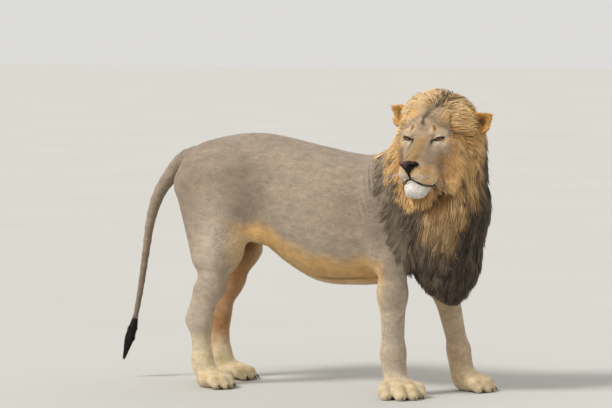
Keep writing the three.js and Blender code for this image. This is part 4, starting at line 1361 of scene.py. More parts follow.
def make_mane(pick, total):
    """The locks, gathered into strands and shared out over pieces by their heading."""
    rng = np.random.default_rng(41)

    def rooted(p):
        weight = np.maximum((mane(p) < -7) & (clearing(p) > 4), on_shoulder(p) * (clearing(p) > 4))
        weight = weight * (1 + 0.9 * (crown_and_ruff(p) < 40)) * (p[:, 0] > 340)
        return weight * (1 + 0.6 * (HEAD.enter(p)[:, 0] > -130))

    roots, normal = pick(total, rooted)
    q = HEAD.enter(roots)
    reach = mane_reach(roots, q, rng)
    sink = -outline(roots)
    proud = -22 * rng.random(len(roots)) ** 1.6 + 2
    proud += 9 * smooth(560 - roots[:, 2], 0, 120) * rng.random(len(roots))
    proud += smooth(q[:, 2], 60, 120) * (8 + 18 * smooth(-q[:, 1], -20, 60)) * rng.random(len(roots))
    proud = np.maximum(proud, 8 * rng.random(len(roots)) + 5 - sink)
    path, normals = combed(roots, normal, reach, sink, proud, rng, mane_lie)
    path, leader = gathered(path, 15, 0.72, rng)
    t = np.linspace(0, 1, path.shape[1])[None, :, None]
    beside = unit(np.cross(np.gradient(path, axis=1), normals))
    phase = rng.uniform(0, 6.3, leader.max() + 1)[leader][:, None, None]
    path = path + beside * np.sin(t * 5 + phase) * 4 * t
    strand = rng.normal(0, 1, leader.max() + 1)[leader]
    root, tip = mane_colours(q, path[:, 2], strand, rng)
    width = bpy.context.scene.lion_coat.lock_width / MM * rng.uniform(0.6, 1.4, len(roots))
    width *= mix(0.6, 1.0, smooth(clearing(roots), 0, 70))
    heading = np.arctan2(roots[:, 1] + 40, roots[:, 0] - 600)
    pieces = []
    count = max(1, -(-len(roots) // LOCKS_PER_PIECE))
    for number, some in enumerate(np.array_split(np.argsort(heading), count)):
        turn = heading[some]
        spots = np.column_stack([(turn - turn.min()) / np.ptp(turn), (roots[some, 2] - 380) / 900])
        pieces.append(lock_mesh(f"mane_locks_{number + 1}", path[some], normals[some], width[some],
                                root[some], tip[some], np.clip(spots, 0, 1),
                                lambda t: np.where(t < 1, (0.55 + 1.2 * t) * (1 - t) ** 0.55, 0)))
    return pieces


def hairline_lie(p):
    """Out from the middle of the face and back, and away from the parting on the forehead."""
    q = HEAD.enter(p)
    x, y, z = q.T
    out = unit(np.column_stack([0 * x, y, z + 60]))
    top = smooth(z, 30, 80)[:, None]
    aside = np.clip((y - PARTING(-x)) / 30, -1, 1)
    over = np.column_stack([-0.6 + 0 * x, 0.7 * aside, 0.6 + 0 * x])
    low = smooth(-z, -50, 110)
    way = out * 0.7 + np.column_stack([-0.6 + 0 * x, 0 * x, -1.0 * low - 0.1])
    return unit(way + (over - way) * top) @ HEAD.axes.T


def make_hairline(pick, total):
    """Hair that grows longer from the cheeks and forehead out towards the mane."""
    rng = np.random.default_rng(43)

    def rooted(p):
        q = HEAD.enter(p)
        bare = (q[:, 0] > 40) | (lip_groove(q) < 7)
        away = clearing(p)
        start = smooth(away - 26 * smooth(q[:, 2], 0, 40), -58, -14) * smooth(from_eye(q), 34, 56)
        return (face_shape(q) < 12) * ~bare * start * (away < 10)

    roots, normal = pick(total, rooted)
    q = HEAD.enter(roots)
    ahead, aside, up = q.T
    out = smooth(clearing(roots) - 22 * smooth(up, 0, 40), -54, 8)
    out *= smooth(from_eye(q), 30, 78)
    reach = mix(12, 85, out ** 1.3) * rng.uniform(0.6, 1.2, total)
    sink = -outline(roots)
    proud = mix(2, 10, out) * rng.uniform(0.3, 1.2, total)
    path, normals = combed(roots, normal, reach, sink, proud, rng, hairline_lie, rings=5, jitter=0.12)
    path, _ = gathered(path, 10, 0.45, rng)
    face = face_marking(q)[0]
    # painted shade: on the lion's left cheek, away from the sun, the hair is darkened to orange-brown over
    # the cheek's own orange
    shaded = smooth(aside, 34, 76) * (1 - smooth(out, 0.6, 1.05)) * smooth(-up, 5, 40)
    gold = layered(
        plain(c.gold, roots),
        (c.groin, 0.5 * smooth(ripple(roots, 40, 44), 0, 1.2)),
        (c.groin * 1.05, 0.85 * shaded),
        (face, 0.85 * smooth(up, 55, 80) * (1 - smooth(np.abs(aside - 15), 20, 55))))
    rgb = face + (gold - face) * smooth(out, 0.1, 0.8)[:, None]
    rgb *= np.exp(rng.normal(0, 0.15, total))[:, None]
    tip = paint(rgb, c.blond, 0.3 * out)
    part = (1 - smooth(np.abs(aside - PARTING(-ahead)), 5, 13)) * smooth(up, 48, 66)
    rgb = paint(rgb, c.brown * 0.3, part * 0.9)
    width = mix(0.9, 3.0, out) * rng.uniform(0.7, 1.3, total)
    return lock_mesh("mane_hairline", path, normals, width, np.clip(rgb * 0.85, 0, 1), np.clip(tip, 0, 1),
                     face_spot(q), lambda t: np.where(t < 1, (0.7 + 0.8 * t) * (1 - t) ** 0.55, 0))


# ---------------------------------------------------------------- ears, eyes, nose, claws, whiskers

EAR = dict(x=-156, y=183, z=74, uneven=14, turn=0.45, lean=0.95, deep=28, wide=50, tall=62)
EAR_ROOM, EAR_CELL = 130, 3.2  # how far the net reaches from the ear's middle, and its cell
NOSE_MIDDLE = (134, 0, -106)
NOSE_ROOM, NOSE_CELL = 50, 1.6


def ear_place(side):
    axes = (Matrix.Rotation(math.radians(HEAD_TURN), 3, "Z") @ Matrix.Rotation(side * EAR["turn"], 3, "Z")
            @ Matrix.Rotation(-side * EAR["lean"], 3, "X"))
    return Place(in_head((EAR["x"], side * EAR["y"], EAR["z"] - side * EAR["uneven"])), axes)


def ear_field(side):
    shell = egg((0, 0, 0), (EAR["deep"] - 1, EAR["wide"] - 3, EAR["tall"] - 2))
    dish = egg((EAR["deep"] * 0.66, 0, 5), (EAR["deep"], EAR["wide"] - 10, EAR["tall"] - 8))
    root = cone((-8, 0, -40), (-6, 0, -78), 30, 30)
    cupped = hollow(5, shell, dish)

    def pointed(q):
        slopes = (np.abs(q[:, 1]) * 0.8 + q[:, 2] * 0.6) - 47
        return -blended(-cupped(q), -slopes, 16)
    return ear_place(side).field(melt(14, pointed, root))


def ear_marking(p, side):
    """Gold outside and blackish behind, with a shaded dish."""
    q = ear_place(side).enter(p)
    ahead, aside, up = q.T
    inside = smooth(ahead, -6, 4) * (1 - smooth(np.hypot(aside / 38, (up - 4) / 50), 0.7, 1))
    deep = 1 - smooth(np.hypot(aside / 18, (up + 18) / 22), 0.4, 1.1)
    behind = (1 - smooth(ahead, -12, 2)) * smooth(up, -14, 8)
    rgb = layered(
        plain(c.gold * (1, 0.94, 0.8), p),
        (c.groin * 1.3, inside * 0.5),
        # painted shade deep in the ear's dish
        (c.black, inside * deep * 0.6),
        (c.dark, behind * 0.9))
    return rgb * (1 + 0.07 * ripple(p, 16, 31))[:, None]


def ear_hair(word, side, total, rng):
    """Short hair over an ear, longer and upright inside it."""
    place = ear_place(side)
    roots, normal = skin_samples(bpy.data.objects[f"ear_shell_{word}"], 75)(total, lambda p: np.ones(len(p)))
    q = place.enter(roots)
    inside = smooth(q[:, 0], -4, 6)
    way = place.direction(unit(np.column_stack([0.5 * inside, 0 * inside, 1 + 0 * inside])))
    way = unit(way - normal * (way * normal).sum(axis=1, keepdims=True) * 0.7)
    reach = mix(7.0, 17.0, inside) * rng.uniform(0.6, 1.3, len(roots))
    path = [roots - normal,
            roots + (way + normal * 0.3) * (reach * 0.5)[:, None],
            roots + (way + normal * 0.35) * reach[:, None]]
    rgb = ear_marking(roots, side) * (1 + rng.normal(0, 0.06, (len(roots), 1)))
    return lock_mesh(f"coat_ear_{word}", np.stack(path, 1), normal[:, None].repeat(3, 1),
                     np.full(len(roots), 1.6), rgb * 0.85, np.clip(rgb * 1.15 + 0.02, 0, 1),
                     turned_spot(q, (0, 0, 0), LEG_AXES, -70, 70), lambda t: np.where(t < 0.9, 1.0, 0))


NOSE_PAD = melt(
    5,
    egg((134, 0, -101), (15, 34, 11)),
    both_sides(egg((130, 28, -102), (14, 15, 11))),
    egg((136, 0, -111), (12, 28, 17)),
    egg((137, 0, -125), (9, 13, 16)),
    cone((139, 0, -130), (128, 0, -157), 4.5, 2.4))
NOSTRILS = both_sides(melt(
    3,
    egg((146, 19, -109), (9, 7.5, 5), 10),
    cone((142, 26, -109), (127, 43, -102), 4, 2.4)))


def nose_marking(q):
    """Black, with a pink edge low on one side."""
    _, aside, up = q.T
    pink = smooth(-aside + 6 * ripple(q, 14, 51), -4, 18) * smooth(up + 3 * ripple(q, 9, 52), -120, -108)
    return paint(plain(c.black, q), linear("75504a"), pink * 0.7)


def eyeball(name, side):
    """A sphere with a low bulge over the iris. Its own round pattern is kept as a place from its middle."""
    s = settings()
    middle = in_head((EYE[0], side * EYE[1], EYE[2]))
    look = HEAD.direction(LOOK * (1, side, 1))
    deselect()
    bpy.ops.mesh.primitive_uv_sphere_add(segments=48, ring_count=32, radius=s.eye)
    ball = bpy.context.object
    ball.name = name
    local = np.array([v.co[:] for v in ball.data.vertices])
    away = np.hypot(local[:, 0], local[:, 1])
    bulge = np.clip(1 - (away / (s.iris * 1.05)) ** 2, 0, 1) * (local[:, 2] > 0)
    local[:, 2] += bulge * 0.0010
    kept = ball.data.attributes.new("from_middle", "FLOAT_VECTOR", "POINT")
    kept.data.foreach_set("vector", local.ravel())
    turn = np.array(Vector((0, 0, 1)).rotation_difference(Vector(look)).to_matrix())
    ball.data.vertices.foreach_set("co", (local @ turn.T + to_metres(middle)[0]).ravel())
    ball.data.update()
    bpy.ops.object.shade_smooth()
    return ball


CLAW = dict(radius=0.0052, length=0.030, rings=7, curve=math.radians(78))


def claw_model():
    """A hooked tapering horn along +X, drawn out ring by ring, each turned further down."""
    deselect()
    bpy.ops.mesh.primitive_circle_add(vertices=12, radius=CLAW["radius"], fill_type="NGON",
                                      rotation=(0, math.radians(90), 0))
    claw = bpy.context.object
    bpy.ops.object.transform_apply(location=False, rotation=True, scale=False)
    bpy.context.tool_settings.mesh_select_mode = (False, False, True)
    bpy.ops.object.mode_set(mode="EDIT")
    bpy.ops.mesh.select_all(action="SELECT")
    reach = CLAW["length"] / CLAW["rings"]
    at = Vector((0, 0, 0))
    for ring in range(CLAW["rings"]):
        heading = CLAW["curve"] * (ring + 1) / CLAW["rings"]
        move = Vector((math.cos(heading), 0, -math.sin(heading))) * reach
        at = at + move
        bpy.ops.mesh.extrude_region_move(TRANSFORM_OT_translate={"value": move})
        shrink = 0.93 if ring < 3 else 0.72
        bpy.ops.transform.resize(value=(shrink, shrink * 0.96, shrink), center_override=at)
        bpy.ops.transform.rotate(value=-CLAW["curve"] / CLAW["rings"], orient_axis="Y", center_override=at)
    bpy.ops.mesh.select_all(action="SELECT")
    bpy.ops.mesh.normals_make_consistent(inside=False)
    bpy.ops.object.mode_set(mode="OBJECT")
    bpy.ops.object.shade_smooth()
    return claw


def whisker_blades():
    """Long pale whiskers, each a thin blade that starts on a whisker spot and sweeps out, back and down."""
    rng = np.random.default_rng(61)
    roots, ways = [], []
    for side in (RIGHT, LEFT):
        for height, row in WHISKER_ROWS[1:]:
            for ahead, aside in row[1:]:
                roots.append((ahead, side * aside, height - 0.12 * aside))
                ways.append(unit((0.15 + 0.004 * (ahead - 110), side * 1.0, -0.22)) + rng.normal(0, 0.07, 3))
    roots = settle(face_field, HEAD.leave(np.array(roots)), 8, 5)
    ways = unit(np.array(ways) @ HEAD.axes.T)
    droop = HEAD.direction((-0.55, 0, -0.55))
    t = np.linspace(-0.03, 1, 9)[None, :, None]
    reach = rng.uniform(80, 135, len(roots))[:, None, None]
    path = roots[:, None] + (ways[:, None] * t + droop * t ** 2 * 0.55) * reach
    up = np.broadcast_to(np.array((0.0, 0.0, 1.0)), path.shape)
    pale = np.tile((0.85, 0.82, 0.76), (len(roots), 1))
    spots = np.column_stack([np.linspace(0, 1, len(roots)), np.full(len(roots), 0.5)])
    return lock_mesh("whiskers", path, up, np.full(len(roots), 0.8), pale, pale, spots,
                     lambda t: 1 - 0.75 * t, thick=0.5)


# ---------------------------------------------------------------- materials

class Nodes:
    """A short way to add nodes to a material and join them."""

    def __init__(self, name):
        self.material = bpy.data.materials.new(name)
        self.material.use_nodes = True
        self.tree = self.material.node_tree
        self.shader = self.tree.nodes["Principled BSDF"]

    def add(self, kind, inputs=None, **values):
        node = self.tree.nodes.new(kind)
        for key, value in values.items():
            setattr(node, key, value)
        for key, value in (inputs or {}).items():
            self.put(node.inputs[key], value)
        return node

    def put(self, socket, value):
        if isinstance(value, bpy.types.NodeSocket):
            self.tree.links.new(value, socket)
        else:
            socket.default_value = value

    def set(self, **values):
        for key, value in values.items():
            self.put(self.shader.inputs[key.replace("_", " ")], value)

    def attribute(self, name):
        return self.add("ShaderNodeAttribute", attribute_name=name)

    def place(self):
        return self.add("ShaderNodeTexCoord").outputs["Object"]

    def mapped(self, place, **values):
        return self.add("ShaderNodeMapping", {"Vector": place, **values}).outputs["Vector"]

    def noise(self, place, scale, detail):
        node = self.add("ShaderNodeTexNoise", {"Vector": place, "Scale": scale, "Detail": detail})
        return node.outputs["Fac"]

    def grain(self, scale, detail, stretch=(1, 1, 1)):
        return self.noise(self.mapped(self.place(), Scale=stretch), scale, detail)

    def between(self, value, low, high, to_low, to_high):
        return self.add("ShaderNodeMapRange", {"Value": value, "From Min": low, "From Max": high,
                                               "To Min": to_low, "To Max": to_high}).outputs["Result"]

    def spread(self, noise, low, high):
        """A noise, which keeps round its middle, spread from low to high."""
        return self.between(noise, 0.3, 0.7, low, high)

    def mixed(self, factor, a, b):
        return self.add("ShaderNodeMix", {"Factor": factor, "A": a, "B": b}).outputs["Result"]

    def math(self, operation, *values):
        return self.add("ShaderNodeMath", dict(enumerate(values)), operation=operation).outputs["Value"]

    def vector(self, operation, *values, output="Vector"):
        return self.add("ShaderNodeVectorMath", dict(enumerate(values)), operation=operation).outputs[output]

    def scaled(self, rgb, value):
        """The colour made lighter or darker by a value."""
        return self.vector("MULTIPLY", rgb, value)

    def bump(self, height, strength, distance):
        return self.add("ShaderNodeBump", {"Height": height, "Strength": strength,
                                           "Distance": distance}).outputs["Normal"]


def coat_material():
    """Short flat fur: fine streaks along the body and down the legs, and bare wet skin where it ends."""
    n = Nodes("short_coat")
    mark = n.attribute("marking")
    furry = mark.outputs["Alpha"]
    place = n.place()
    height = n.add("ShaderNodeSeparateXYZ", {"Vector": place}).outputs["Z"]
    along = n.grain(1.0, 3.0, (70, 520, 320))
    down = n.grain(1.0, 3.0, (460, 460, 80))
    streak = n.mixed(n.between(height, 0.5, 0.68, 0.0, 1.0), down, along)
    clumps = n.grain(48.0, 3.0, (0.5, 1, 1))
    waves = n.add("ShaderNodeTexWave", {"Vector": n.mapped(place, Rotation=(0, 0.3, 0)), "Scale": 14.0,
                                        "Distortion": 4.0, "Detail": 2.0, "Detail Scale": 0.6},
                  bands_direction="X").outputs["Fac"]
    waves = n.mixed(n.attribute("folds").outputs["Fac"], 0.6, waves)
    shade = n.math("MULTIPLY", n.spread(streak, 0.80, 1.18), n.spread(clumps, 0.86, 1.12))
    # In the wrinkles behind the shoulder the colour is darkened as painted shade in the folds, besides their
    # bump.
    shade = n.math("MULTIPLY", shade, n.between(waves, 0.1, 0.5, 0.58, 1.0))
    shade = n.mixed(furry, 1.0, shade)
    height = n.math("MULTIPLY_ADD", waves, 2.0, n.math("ADD", streak, clumps))
    n.set(Base_Color=n.scaled(mark.outputs["Color"], shade), Roughness=n.between(furry, 0.0, 1.0, 0.36, 0.85),
          Specular_IOR_Level=0.25, Sheen_Weight=0.12, Sheen_Roughness=0.5,
          Normal=n.bump(height, 0.45, 0.0018))
    return n.material


def hair_material(name, rough, sheen, strand_depth):
    """Hair in the lock's own colour, with fine strands along it."""
    n = Nodes(name)
    along = n.mapped(n.attribute("strand").outputs["Vector"], Scale=(1.5, 0.03, 1))
    strands = n.noise(along, 1.0, 2.0)
    shade = n.spread(strands, 1 - strand_depth, 1 + strand_depth)
    n.set(Base_Color=n.scaled(n.attribute("marking").outputs["Color"], shade), Roughness=rough,
          Specular_IOR_Level=0.3, Sheen_Weight=sheen, Sheen_Roughness=0.4,
          Normal=n.bump(strands, 2 * strand_depth, 0.0012))
    return n.material


def eye_material():
    """Amber iris with a dark ring and a round pupil, under a wet clear coat."""
    s = settings()
    n = Nodes("wet_eye")
    flat = n.vector("MULTIPLY", n.attribute("from_middle").outputs["Vector"], (1, 1, 0))
    away = n.vector("LENGTH", flat, output="Value")
    rays = n.noise(n.vector("NORMALIZE", flat), 9.0, 3.0)
    amber = n.scaled(tuple(c.amber), n.spread(rays, 0.6, 1.35))
    amber = n.scaled(amber, n.between(away, s.iris * 0.78, s.iris, 1.0, 0.06))
    amber = n.scaled(amber, n.between(away, s.pupil * 0.92, s.pupil * 1.1, 0.0, 1.0))
    n.set(Base_Color=amber, Roughness=0.3, Specular_IOR_Level=0.1, Coat_Weight=0.6, Coat_Roughness=0.03)
    return n.material


def leather_material():
    """Moist pebbled skin of the nose."""
    n = Nodes("nose_leather")
    pebbles = n.add("ShaderNodeTexVoronoi", {"Vector": n.place(), "Scale": 620.0}).outputs["Distance"]
    n.set(Base_Color=n.attribute("marking").outputs["Color"], Specular_IOR_Level=0.2,
          Roughness=n.between(pebbles, 0.0, 0.6, 0.32, 0.5), Normal=n.bump(pebbles, 0.35, 0.0006))
    return n.material


def horn_material():
    """Dark horn with fine lengthwise grain."""
    n = Nodes("claw_horn")
    grain = n.grain(900.0, 2.0, (1, 1, 0.25))
    n.set(Base_Color=n.scaled(tuple(c.claw), n.spread(grain, 0.6, 1.5)), Roughness=0.35,
          Normal=n.bump(grain, 0.2, 0.0004))
    return n.material


def floor_material():
    n = Nodes("pale_floor")
    pale = tuple(bpy.context.scene.lion_stage.floor)
    n.set(Base_Color=n.scaled(pale, n.spread(n.grain(0.7, 2.0), 0.97, 1.0)), Roughness=0.9,
          Specular_IOR_Level=0.1)
    return n.material


# ---------------------------------------------------------------- operators, one for each group of pieces

class SkinOperator(bpy.types.Operator):
    """One skin over trunk, head, legs, paws and tail, with lids, lips and markings"""
    bl_idname = "lion.skin"
    bl_label = "Skin"

    def execute(self, context):
        skin = make_skin()
        rgb, fur = marking(points_of(skin))
        colour_points(skin, rgb, fur)
        folds = skin.data.attributes.new("folds", "FLOAT", "POINT")
        folds.data.foreach_set("value", fold_strength(points_of(skin)))
        finished(skin, coat_material(), "coat", "trunk", "neck", "head", "lower_jaw", "foreleg_right",
                 "foreleg_left", "hindleg_right", "hindleg_left", "forepaw_right", "forepaw_left",
                 "hindpaw_right", "hindpaw_left", "tail_upper", "tail_lower")
        return {"FINISHED"}


class EarsOperator(bpy.types.Operator):
    """Two cupped ears"""
    bl_idname = "lion.ears"
    bl_label = "Ears"

    def execute(self, context):
        for word, side in SIDES:
            middle = ear_place(side).at
            points, quads = net(ear_field(side), middle - EAR_ROOM, middle + EAR_ROOM, EAR_CELL)
            ear = quad_object(f"ear_shell_{word}", points, quads)
            colour_points(ear, ear_marking(points, side), np.ones(len(points)))
            finished(ear, bpy.data.materials["short_coat"], "face", f"ear_{word}")
        return {"FINISHED"}


class EyesOperator(bpy.types.Operator):
    """Two amber eyes with round pupils"""
    bl_idname = "lion.eyes"
    bl_label = "Eyes"

    def execute(self, context):
        material = eye_material()
        for word, side in SIDES:
            finished(eyeball(f"eyeball_{word}", side), material, "eye", f"eye_{word}")
        return {"FINISHED"}


class NoseOperator(bpy.types.Operator):
    """The nose pad, with two nostrils that curl outwards"""
    bl_idname = "lion.nose"
    bl_label = "Nose"

    def execute(self, context):
        middle = in_head(NOSE_MIDDLE)
        points, quads = net(HEAD.field(hollow(2, NOSE_PAD, NOSTRILS)), middle - NOSE_ROOM, middle + NOSE_ROOM,
                            NOSE_CELL)
        pad = quad_object("nose_pad", points, quads)
        colour_points(pad, nose_marking(HEAD.enter(points)), np.zeros(len(points)))
        finished(pad, leather_material(), "nose_skin", "nose")
        return {"FINISHED"}


class ClawsOperator(bpy.types.Operator):
    """Sixteen hooked claws, one in each toe"""
    bl_idname = "lion.claws"
    bl_label = "Claws"

    def execute(self, context):
        material = horn_material()
        model = claw_model()
        for name, (kind, place) in PAWS.items():
            for number, (x, y) in enumerate(PAW[kind]["toes"], 1):
                at = place.leave((x + 12, y * 1.06, 27))[0]
                claw = new_object(f"horn_{name}_{number}", model.data.copy())
                turn = Matrix(place.axes.tolist()).to_4x4()
                claw.data.transform(Matrix.Translation(to_metres(at)[0]) @ turn)
                finished(claw, material, "claw", f"claw_{name}_{number}")
        bpy.data.objects.remove(model)
        return {"FINISHED"}


class WhiskersOperator(bpy.types.Operator):
    """Long pale whiskers on both sides of the muzzle"""
    bl_idname = "lion.whiskers"
    bl_label = "Whiskers"

    def execute(self, context):
        finished(whisker_blades(), hair_material("whisker_hair", 0.4, 0.0, 0.1), "face")
        return {"FINISHED"}


# The parts of the coat: the points each takes, the middle and axes it is laid out round, the two ends it lies
# between along the last axis, and its share of the tufts.
HAUNCH = 560  # the trunk's part ends at this height, and the legs' parts begin
MIDRIFF = 60  # divides the hind part from the front part below it
RUMP_END = -600  # the tail's part lies behind
COAT = {
    "trunk_right": (lambda x, y, z: (y < 0) & (z > HAUNCH) & (x > RUMP_END),
                    (0, 0, 780), BODY_AXES, (-600, 640), 0.32),
    "trunk_left": (lambda x, y, z: (y >= 0) & (z > HAUNCH) & (x > RUMP_END),
                   (0, 0, 780), BODY_AXES, (-600, 640), 0.32),
    "hindlegs_right": (lambda x, y, z: (z <= HAUNCH) & (x <= MIDRIFF) & (x > -640) & (y < 0),
                       (-430, -135, 0), LEG_AXES, (0, 560), 0.11),
    "hindlegs_left": (lambda x, y, z: (z <= HAUNCH) & (x <= MIDRIFF) & (x > -640) & (y >= 0),
                      (-450, 135, 0), LEG_AXES, (0, 560), 0.11),
    "front_low": (lambda x, y, z: (z <= HAUNCH) & (x > MIDRIFF),
                  (420, 0, 500), BODY_AXES, (60, 820), 0.14),
    "tail": (lambda x, y, z: x <= RUMP_END,
             (-720, 0, 0), LEG_AXES, (60, 1000), 0.05),
}


class CoatOperator(bpy.types.Operator):
    """Short tufts along the body and legs, longest where the coat breaks the outline"""
    bl_idname = "lion.coat"
    bl_label = "Body coat"

    def execute(self, context):
        s = context.scene.lion_coat
        pick = skin_samples(bpy.data.objects["lion_skin"], 71)
        material = hair_material("coat_tufts", 0.85, 0.1, 0.08)
        for number, (name, (inside, middle, axes, ends, share)) in enumerate(COAT.items()):
            def weight(p, inside=inside):
                bare = (mane(p) < -6) | (face_shape(HEAD.enter(p)) < 12) | (on_shoulder(p) > 0.6)
                return inside(*p.T) * ~bare * (p[:, 2] > 6) * (0.5 + 2.2 * at_edge(p))

            roots, normal = pick(int(s.body_tufts * share), weight)
            rng = np.random.default_rng(80 + number)
            edge = at_edge(roots)
            low_down = 1 - smooth(roots[:, 2], 60, 300)
            reach = s.tuft_length / MM * mix(1.0, 1.5, edge) * mix(1.0, 0.6, low_down)
            reach = reach * rng.uniform(0.7, 1.25, len(roots)) * (0.7 if name == "tail" else 1)
            width = s.tuft_width / MM * rng.uniform(0.7, 1.3, len(roots)) * mix(1.0, 0.8, low_down)
            lift = np.radians(mix(2.5, 6.5, edge)) * rng.uniform(0.6, 1.3, len(roots))
            spots = turned_spot(roots, middle, axes, *ends)
            tufts = short_tufts(f"coat_{name}", roots, normal, reach, width, lift, spots, 90 + number)
            finished(tufts, material, "coat")
        return {"FINISHED"}


class FaceCoatOperator(bpy.types.Operator):
    """The shortest tufts, over the face, chin and ears"""
    bl_idname = "lion.face_coat"
    bl_label = "Face coat"

    def execute(self, context):
        s = context.scene.lion_coat
        material = bpy.data.materials["coat_tufts"]
        pick = skin_samples(bpy.data.objects["lion_skin"], 72)

        def weight(p):
            q = HEAD.enter(p)
            bare = (from_eye(q) < 33) | (lip_groove(q) < 8) | (NOSE_PAD(q) < 6) | (philtrum_groove(q) < 5)
            return (in_face(p) & ~bare & (mane(p) > -10)) * (1 + smooth(-q[:, 0], -20, 60))

        roots, normal = pick(int(s.face_tufts * 0.8), weight)
        rng = np.random.default_rng(73)
        q = HEAD.enter(roots)
        chin = smooth(-q[:, 2], 204, 222)
        edge = smooth(-q[:, 0] + 0.4 * np.abs(q[:, 1]), 20, 110)
        reach = mix(mix(8.0, 20.0, edge), 20.0, chin) * rng.uniform(0.7, 1.3, len(roots))
        width = mix(0.8, 1.4, np.maximum(edge, chin)) * rng.uniform(0.7, 1.3, len(roots))
        lift = np.radians(mix(5.0, 14.0, np.maximum(edge, chin)))
        tufts = short_tufts("coat_face", roots, normal, reach, width, lift, face_spot(q), 74)
        finished(tufts, material, "face")
        for word, side in SIDES:
            finished(ear_hair(word, side, int(s.face_tufts * 0.1), rng), material, "face")
        return {"FINISHED"}


class ManeOperator(bpy.types.Operator):
    """The mane in long overlapping locks that gather into pointed strands"""
    bl_idname = "lion.mane"
    bl_label = "Mane"

    def execute(self, context):
        s = context.scene.lion_coat
        material = hair_material("mane_hair", 0.55, 0.15, 0.3)
        pick = skin_samples(bpy.data.objects["lion_skin"], 76)
        pieces = make_mane(pick, s.mane_locks)
        for number, locks in enumerate(pieces):
            finished(locks, material, "mane_gold" if number == 0 else "mane_dark")
        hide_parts("mane_crown", "mane_right", "mane_left", "mane_chest")
        finished(make_hairline(pick, s.hairline), material, "mane_gold")
        return {"FINISHED"}


class TailTuftOperator(bpy.types.Operator):
    """The black tuft at the tail's end"""
    bl_idname = "lion.tail_tuft"
    bl_label = "Tail tuft"

    def execute(self, context):
        s = context.scene.lion_coat
        rng = np.random.default_rng(77)
        total = s.tail_locks
        gone = gone_along(TAIL)

        def on_tail(at):
            return np.column_stack([np.interp(at, gone, TAIL[:, i]) for i in range(3)])

        at = rng.uniform(TUFT_FROM, 0.985, total) * gone[-1]
        middle = on_tail(at)
        ahead = unit(on_tail(at + 2) - on_tail(at - 2))
        beside = unit(np.cross(ahead, (0, 1, 0)))
        across = np.cross(ahead, beside)
        turn = rng.uniform(0, 2 * np.pi, total)
        normal = beside * np.cos(turn)[:, None] + across * np.sin(turn)[:, None]
        share = at / gone[-1]
        swell = profile([(TUFT_FROM, 15), (0.9, 27), (0.95, 24), (1.0, 10), (1.06, 2)])
        reach = rng.uniform(45, 85, total) * np.clip((1.07 - share) / 0.12, 0.35, 1)
        path = []
        for t in np.arange(LOCK_RINGS) / (LOCK_RINGS - 1):
            spine = middle + ahead * (t * reach)[:, None]
            out = swell(share + t * reach / gone[-1]) * rng.uniform(0.55, 1.0, total)
            path.append(spine + normal * (mix(9, out, t ** 0.7))[:, None])
        path, _ = gathered(np.stack(path, 1), 14, 0.6, rng)
        rgb = c.black * rng.uniform(0.5, 1.6, (total, 1))
        spots = np.column_stack([turn / (2 * np.pi), (share - TUFT_FROM) / (1 - TUFT_FROM)])
        tuft = lock_mesh("tail_tuft_locks", path, normal[:, None].repeat(LOCK_RINGS, 1),
                         rng.uniform(2.4, 4.2, total), rgb, rgb * 1.3, np.clip(spots, 0, 1),
                         lambda t: np.where(t < 1, (1 - t) ** 0.5, 0))
        finished(tuft, bpy.data.materials["mane_hair"], "tail_tuft", "tail_tuft")
        return {"FINISHED"}


FLOOR_SIZE = 120
LIGHTS = {  # where each stands, its spread in degrees and its power
    "key": ((-4.5, -5.5, 7.5), 14, 2.6),
    "rim": ((1.5, 6.5, 7.0), 40, 0.4),
}
SKY = (1.0, 0.99, 0.97, 1), 0.72  # its colour and strength


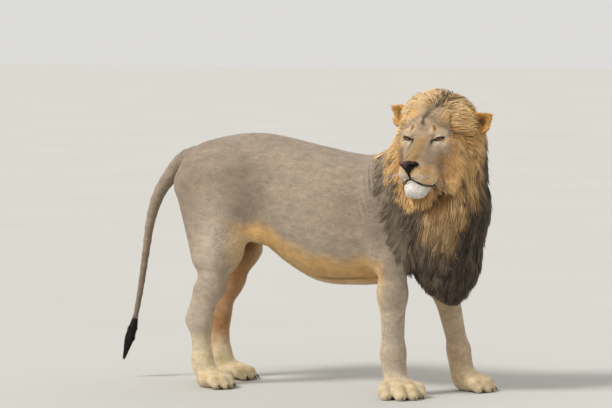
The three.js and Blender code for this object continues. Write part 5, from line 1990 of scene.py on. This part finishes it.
class StageOperator(bpy.types.Operator):
    """Pale floor, soft lights and the camera"""
    bl_idname = "lion.stage"
    bl_label = "Stage"

    def execute(self, context):
        s = context.scene.lion_stage
        deselect()
        bpy.ops.mesh.primitive_plane_add(size=FLOOR_SIZE)
        floor = context.object
        floor.name = "floor"
        floor.data.materials.append(floor_material())
        for name, (at, spread, power) in LIGHTS.items():
            light = bpy.data.lights.new(name, "SUN")
            light.angle = math.radians(spread)
            light.energy = power
            lamp = bpy.data.objects.new(name, light)
            context.scene.collection.objects.link(lamp)
            lamp.location = at
            lamp.rotation_euler = (-Vector(at)).to_track_quat("-Z", "Y").to_euler()
        world = bpy.data.worlds.new("studio")
        world.use_nodes = True
        sky = world.node_tree.nodes["Background"].inputs
        sky["Color"].default_value, sky["Strength"].default_value = SKY
        context.scene.world = world
        context.scene.view_settings.view_transform = "Standard"
        camera = bpy.data.objects.new("camera", bpy.data.cameras.new("camera"))
        context.scene.collection.objects.link(camera)
        camera.data.lens = s.lens
        camera.data.sensor_width = 36
        camera.data.clip_end = 200
        camera.location = s.camera_at
        camera.rotation_euler = (math.radians(90) - s.camera_dip, 0, s.camera_turn - math.radians(90))
        context.scene.camera = camera
        return {"FINISHED"}


class LionPanel(bpy.types.Panel):
    """Lists the pieces in the order they are made"""
    bl_idname = "VIEW3D_PT_lion"
    bl_label = "Lion"
    bl_space_type = "VIEW_3D"
    bl_region_type = "UI"
    bl_category = "Lion"

    def draw(self, context):
        for group in (context.scene.lion_skin, context.scene.lion_coat, context.scene.lion_colours,
                      context.scene.lion_stage):
            box = self.layout.box()
            for name in group.bl_rna.properties.keys():
                if name not in ("rna_type", "name"):
                    box.prop(group, name)
        for operator in OPERATORS:
            self.layout.operator(operator.bl_idname)


OPERATORS = (SkinOperator, EarsOperator, EyesOperator, NoseOperator, ClawsOperator, WhiskersOperator,
             CoatOperator, FaceCoatOperator, ManeOperator, TailTuftOperator, StageOperator)
SETTINGS = {"lion_skin": LionSkinSettings, "lion_coat": LionCoatSettings, "lion_colours": LionColourSettings,
            "lion_stage": LionStageSettings}


def register():
    for group in SETTINGS.values():
        bpy.utils.register_class(group)
    for name, group in SETTINGS.items():
        setattr(bpy.types.Scene, name, bpy.props.PointerProperty(type=group))
    for operator in OPERATORS:
        bpy.utils.register_class(operator)
    bpy.utils.register_class(LionPanel)


def unregister():
    bpy.utils.unregister_class(LionPanel)
    for operator in reversed(OPERATORS):
        bpy.utils.unregister_class(operator)
    for name in SETTINGS:
        delattr(bpy.types.Scene, name)
    for group in reversed(SETTINGS.values()):
        bpy.utils.unregister_class(group)


def main():
    register()
    deselect()
    for operator in OPERATORS:
        getattr(bpy.ops.lion, operator.bl_idname.split(".")[1])()


if __name__ == "__main__":
    main()
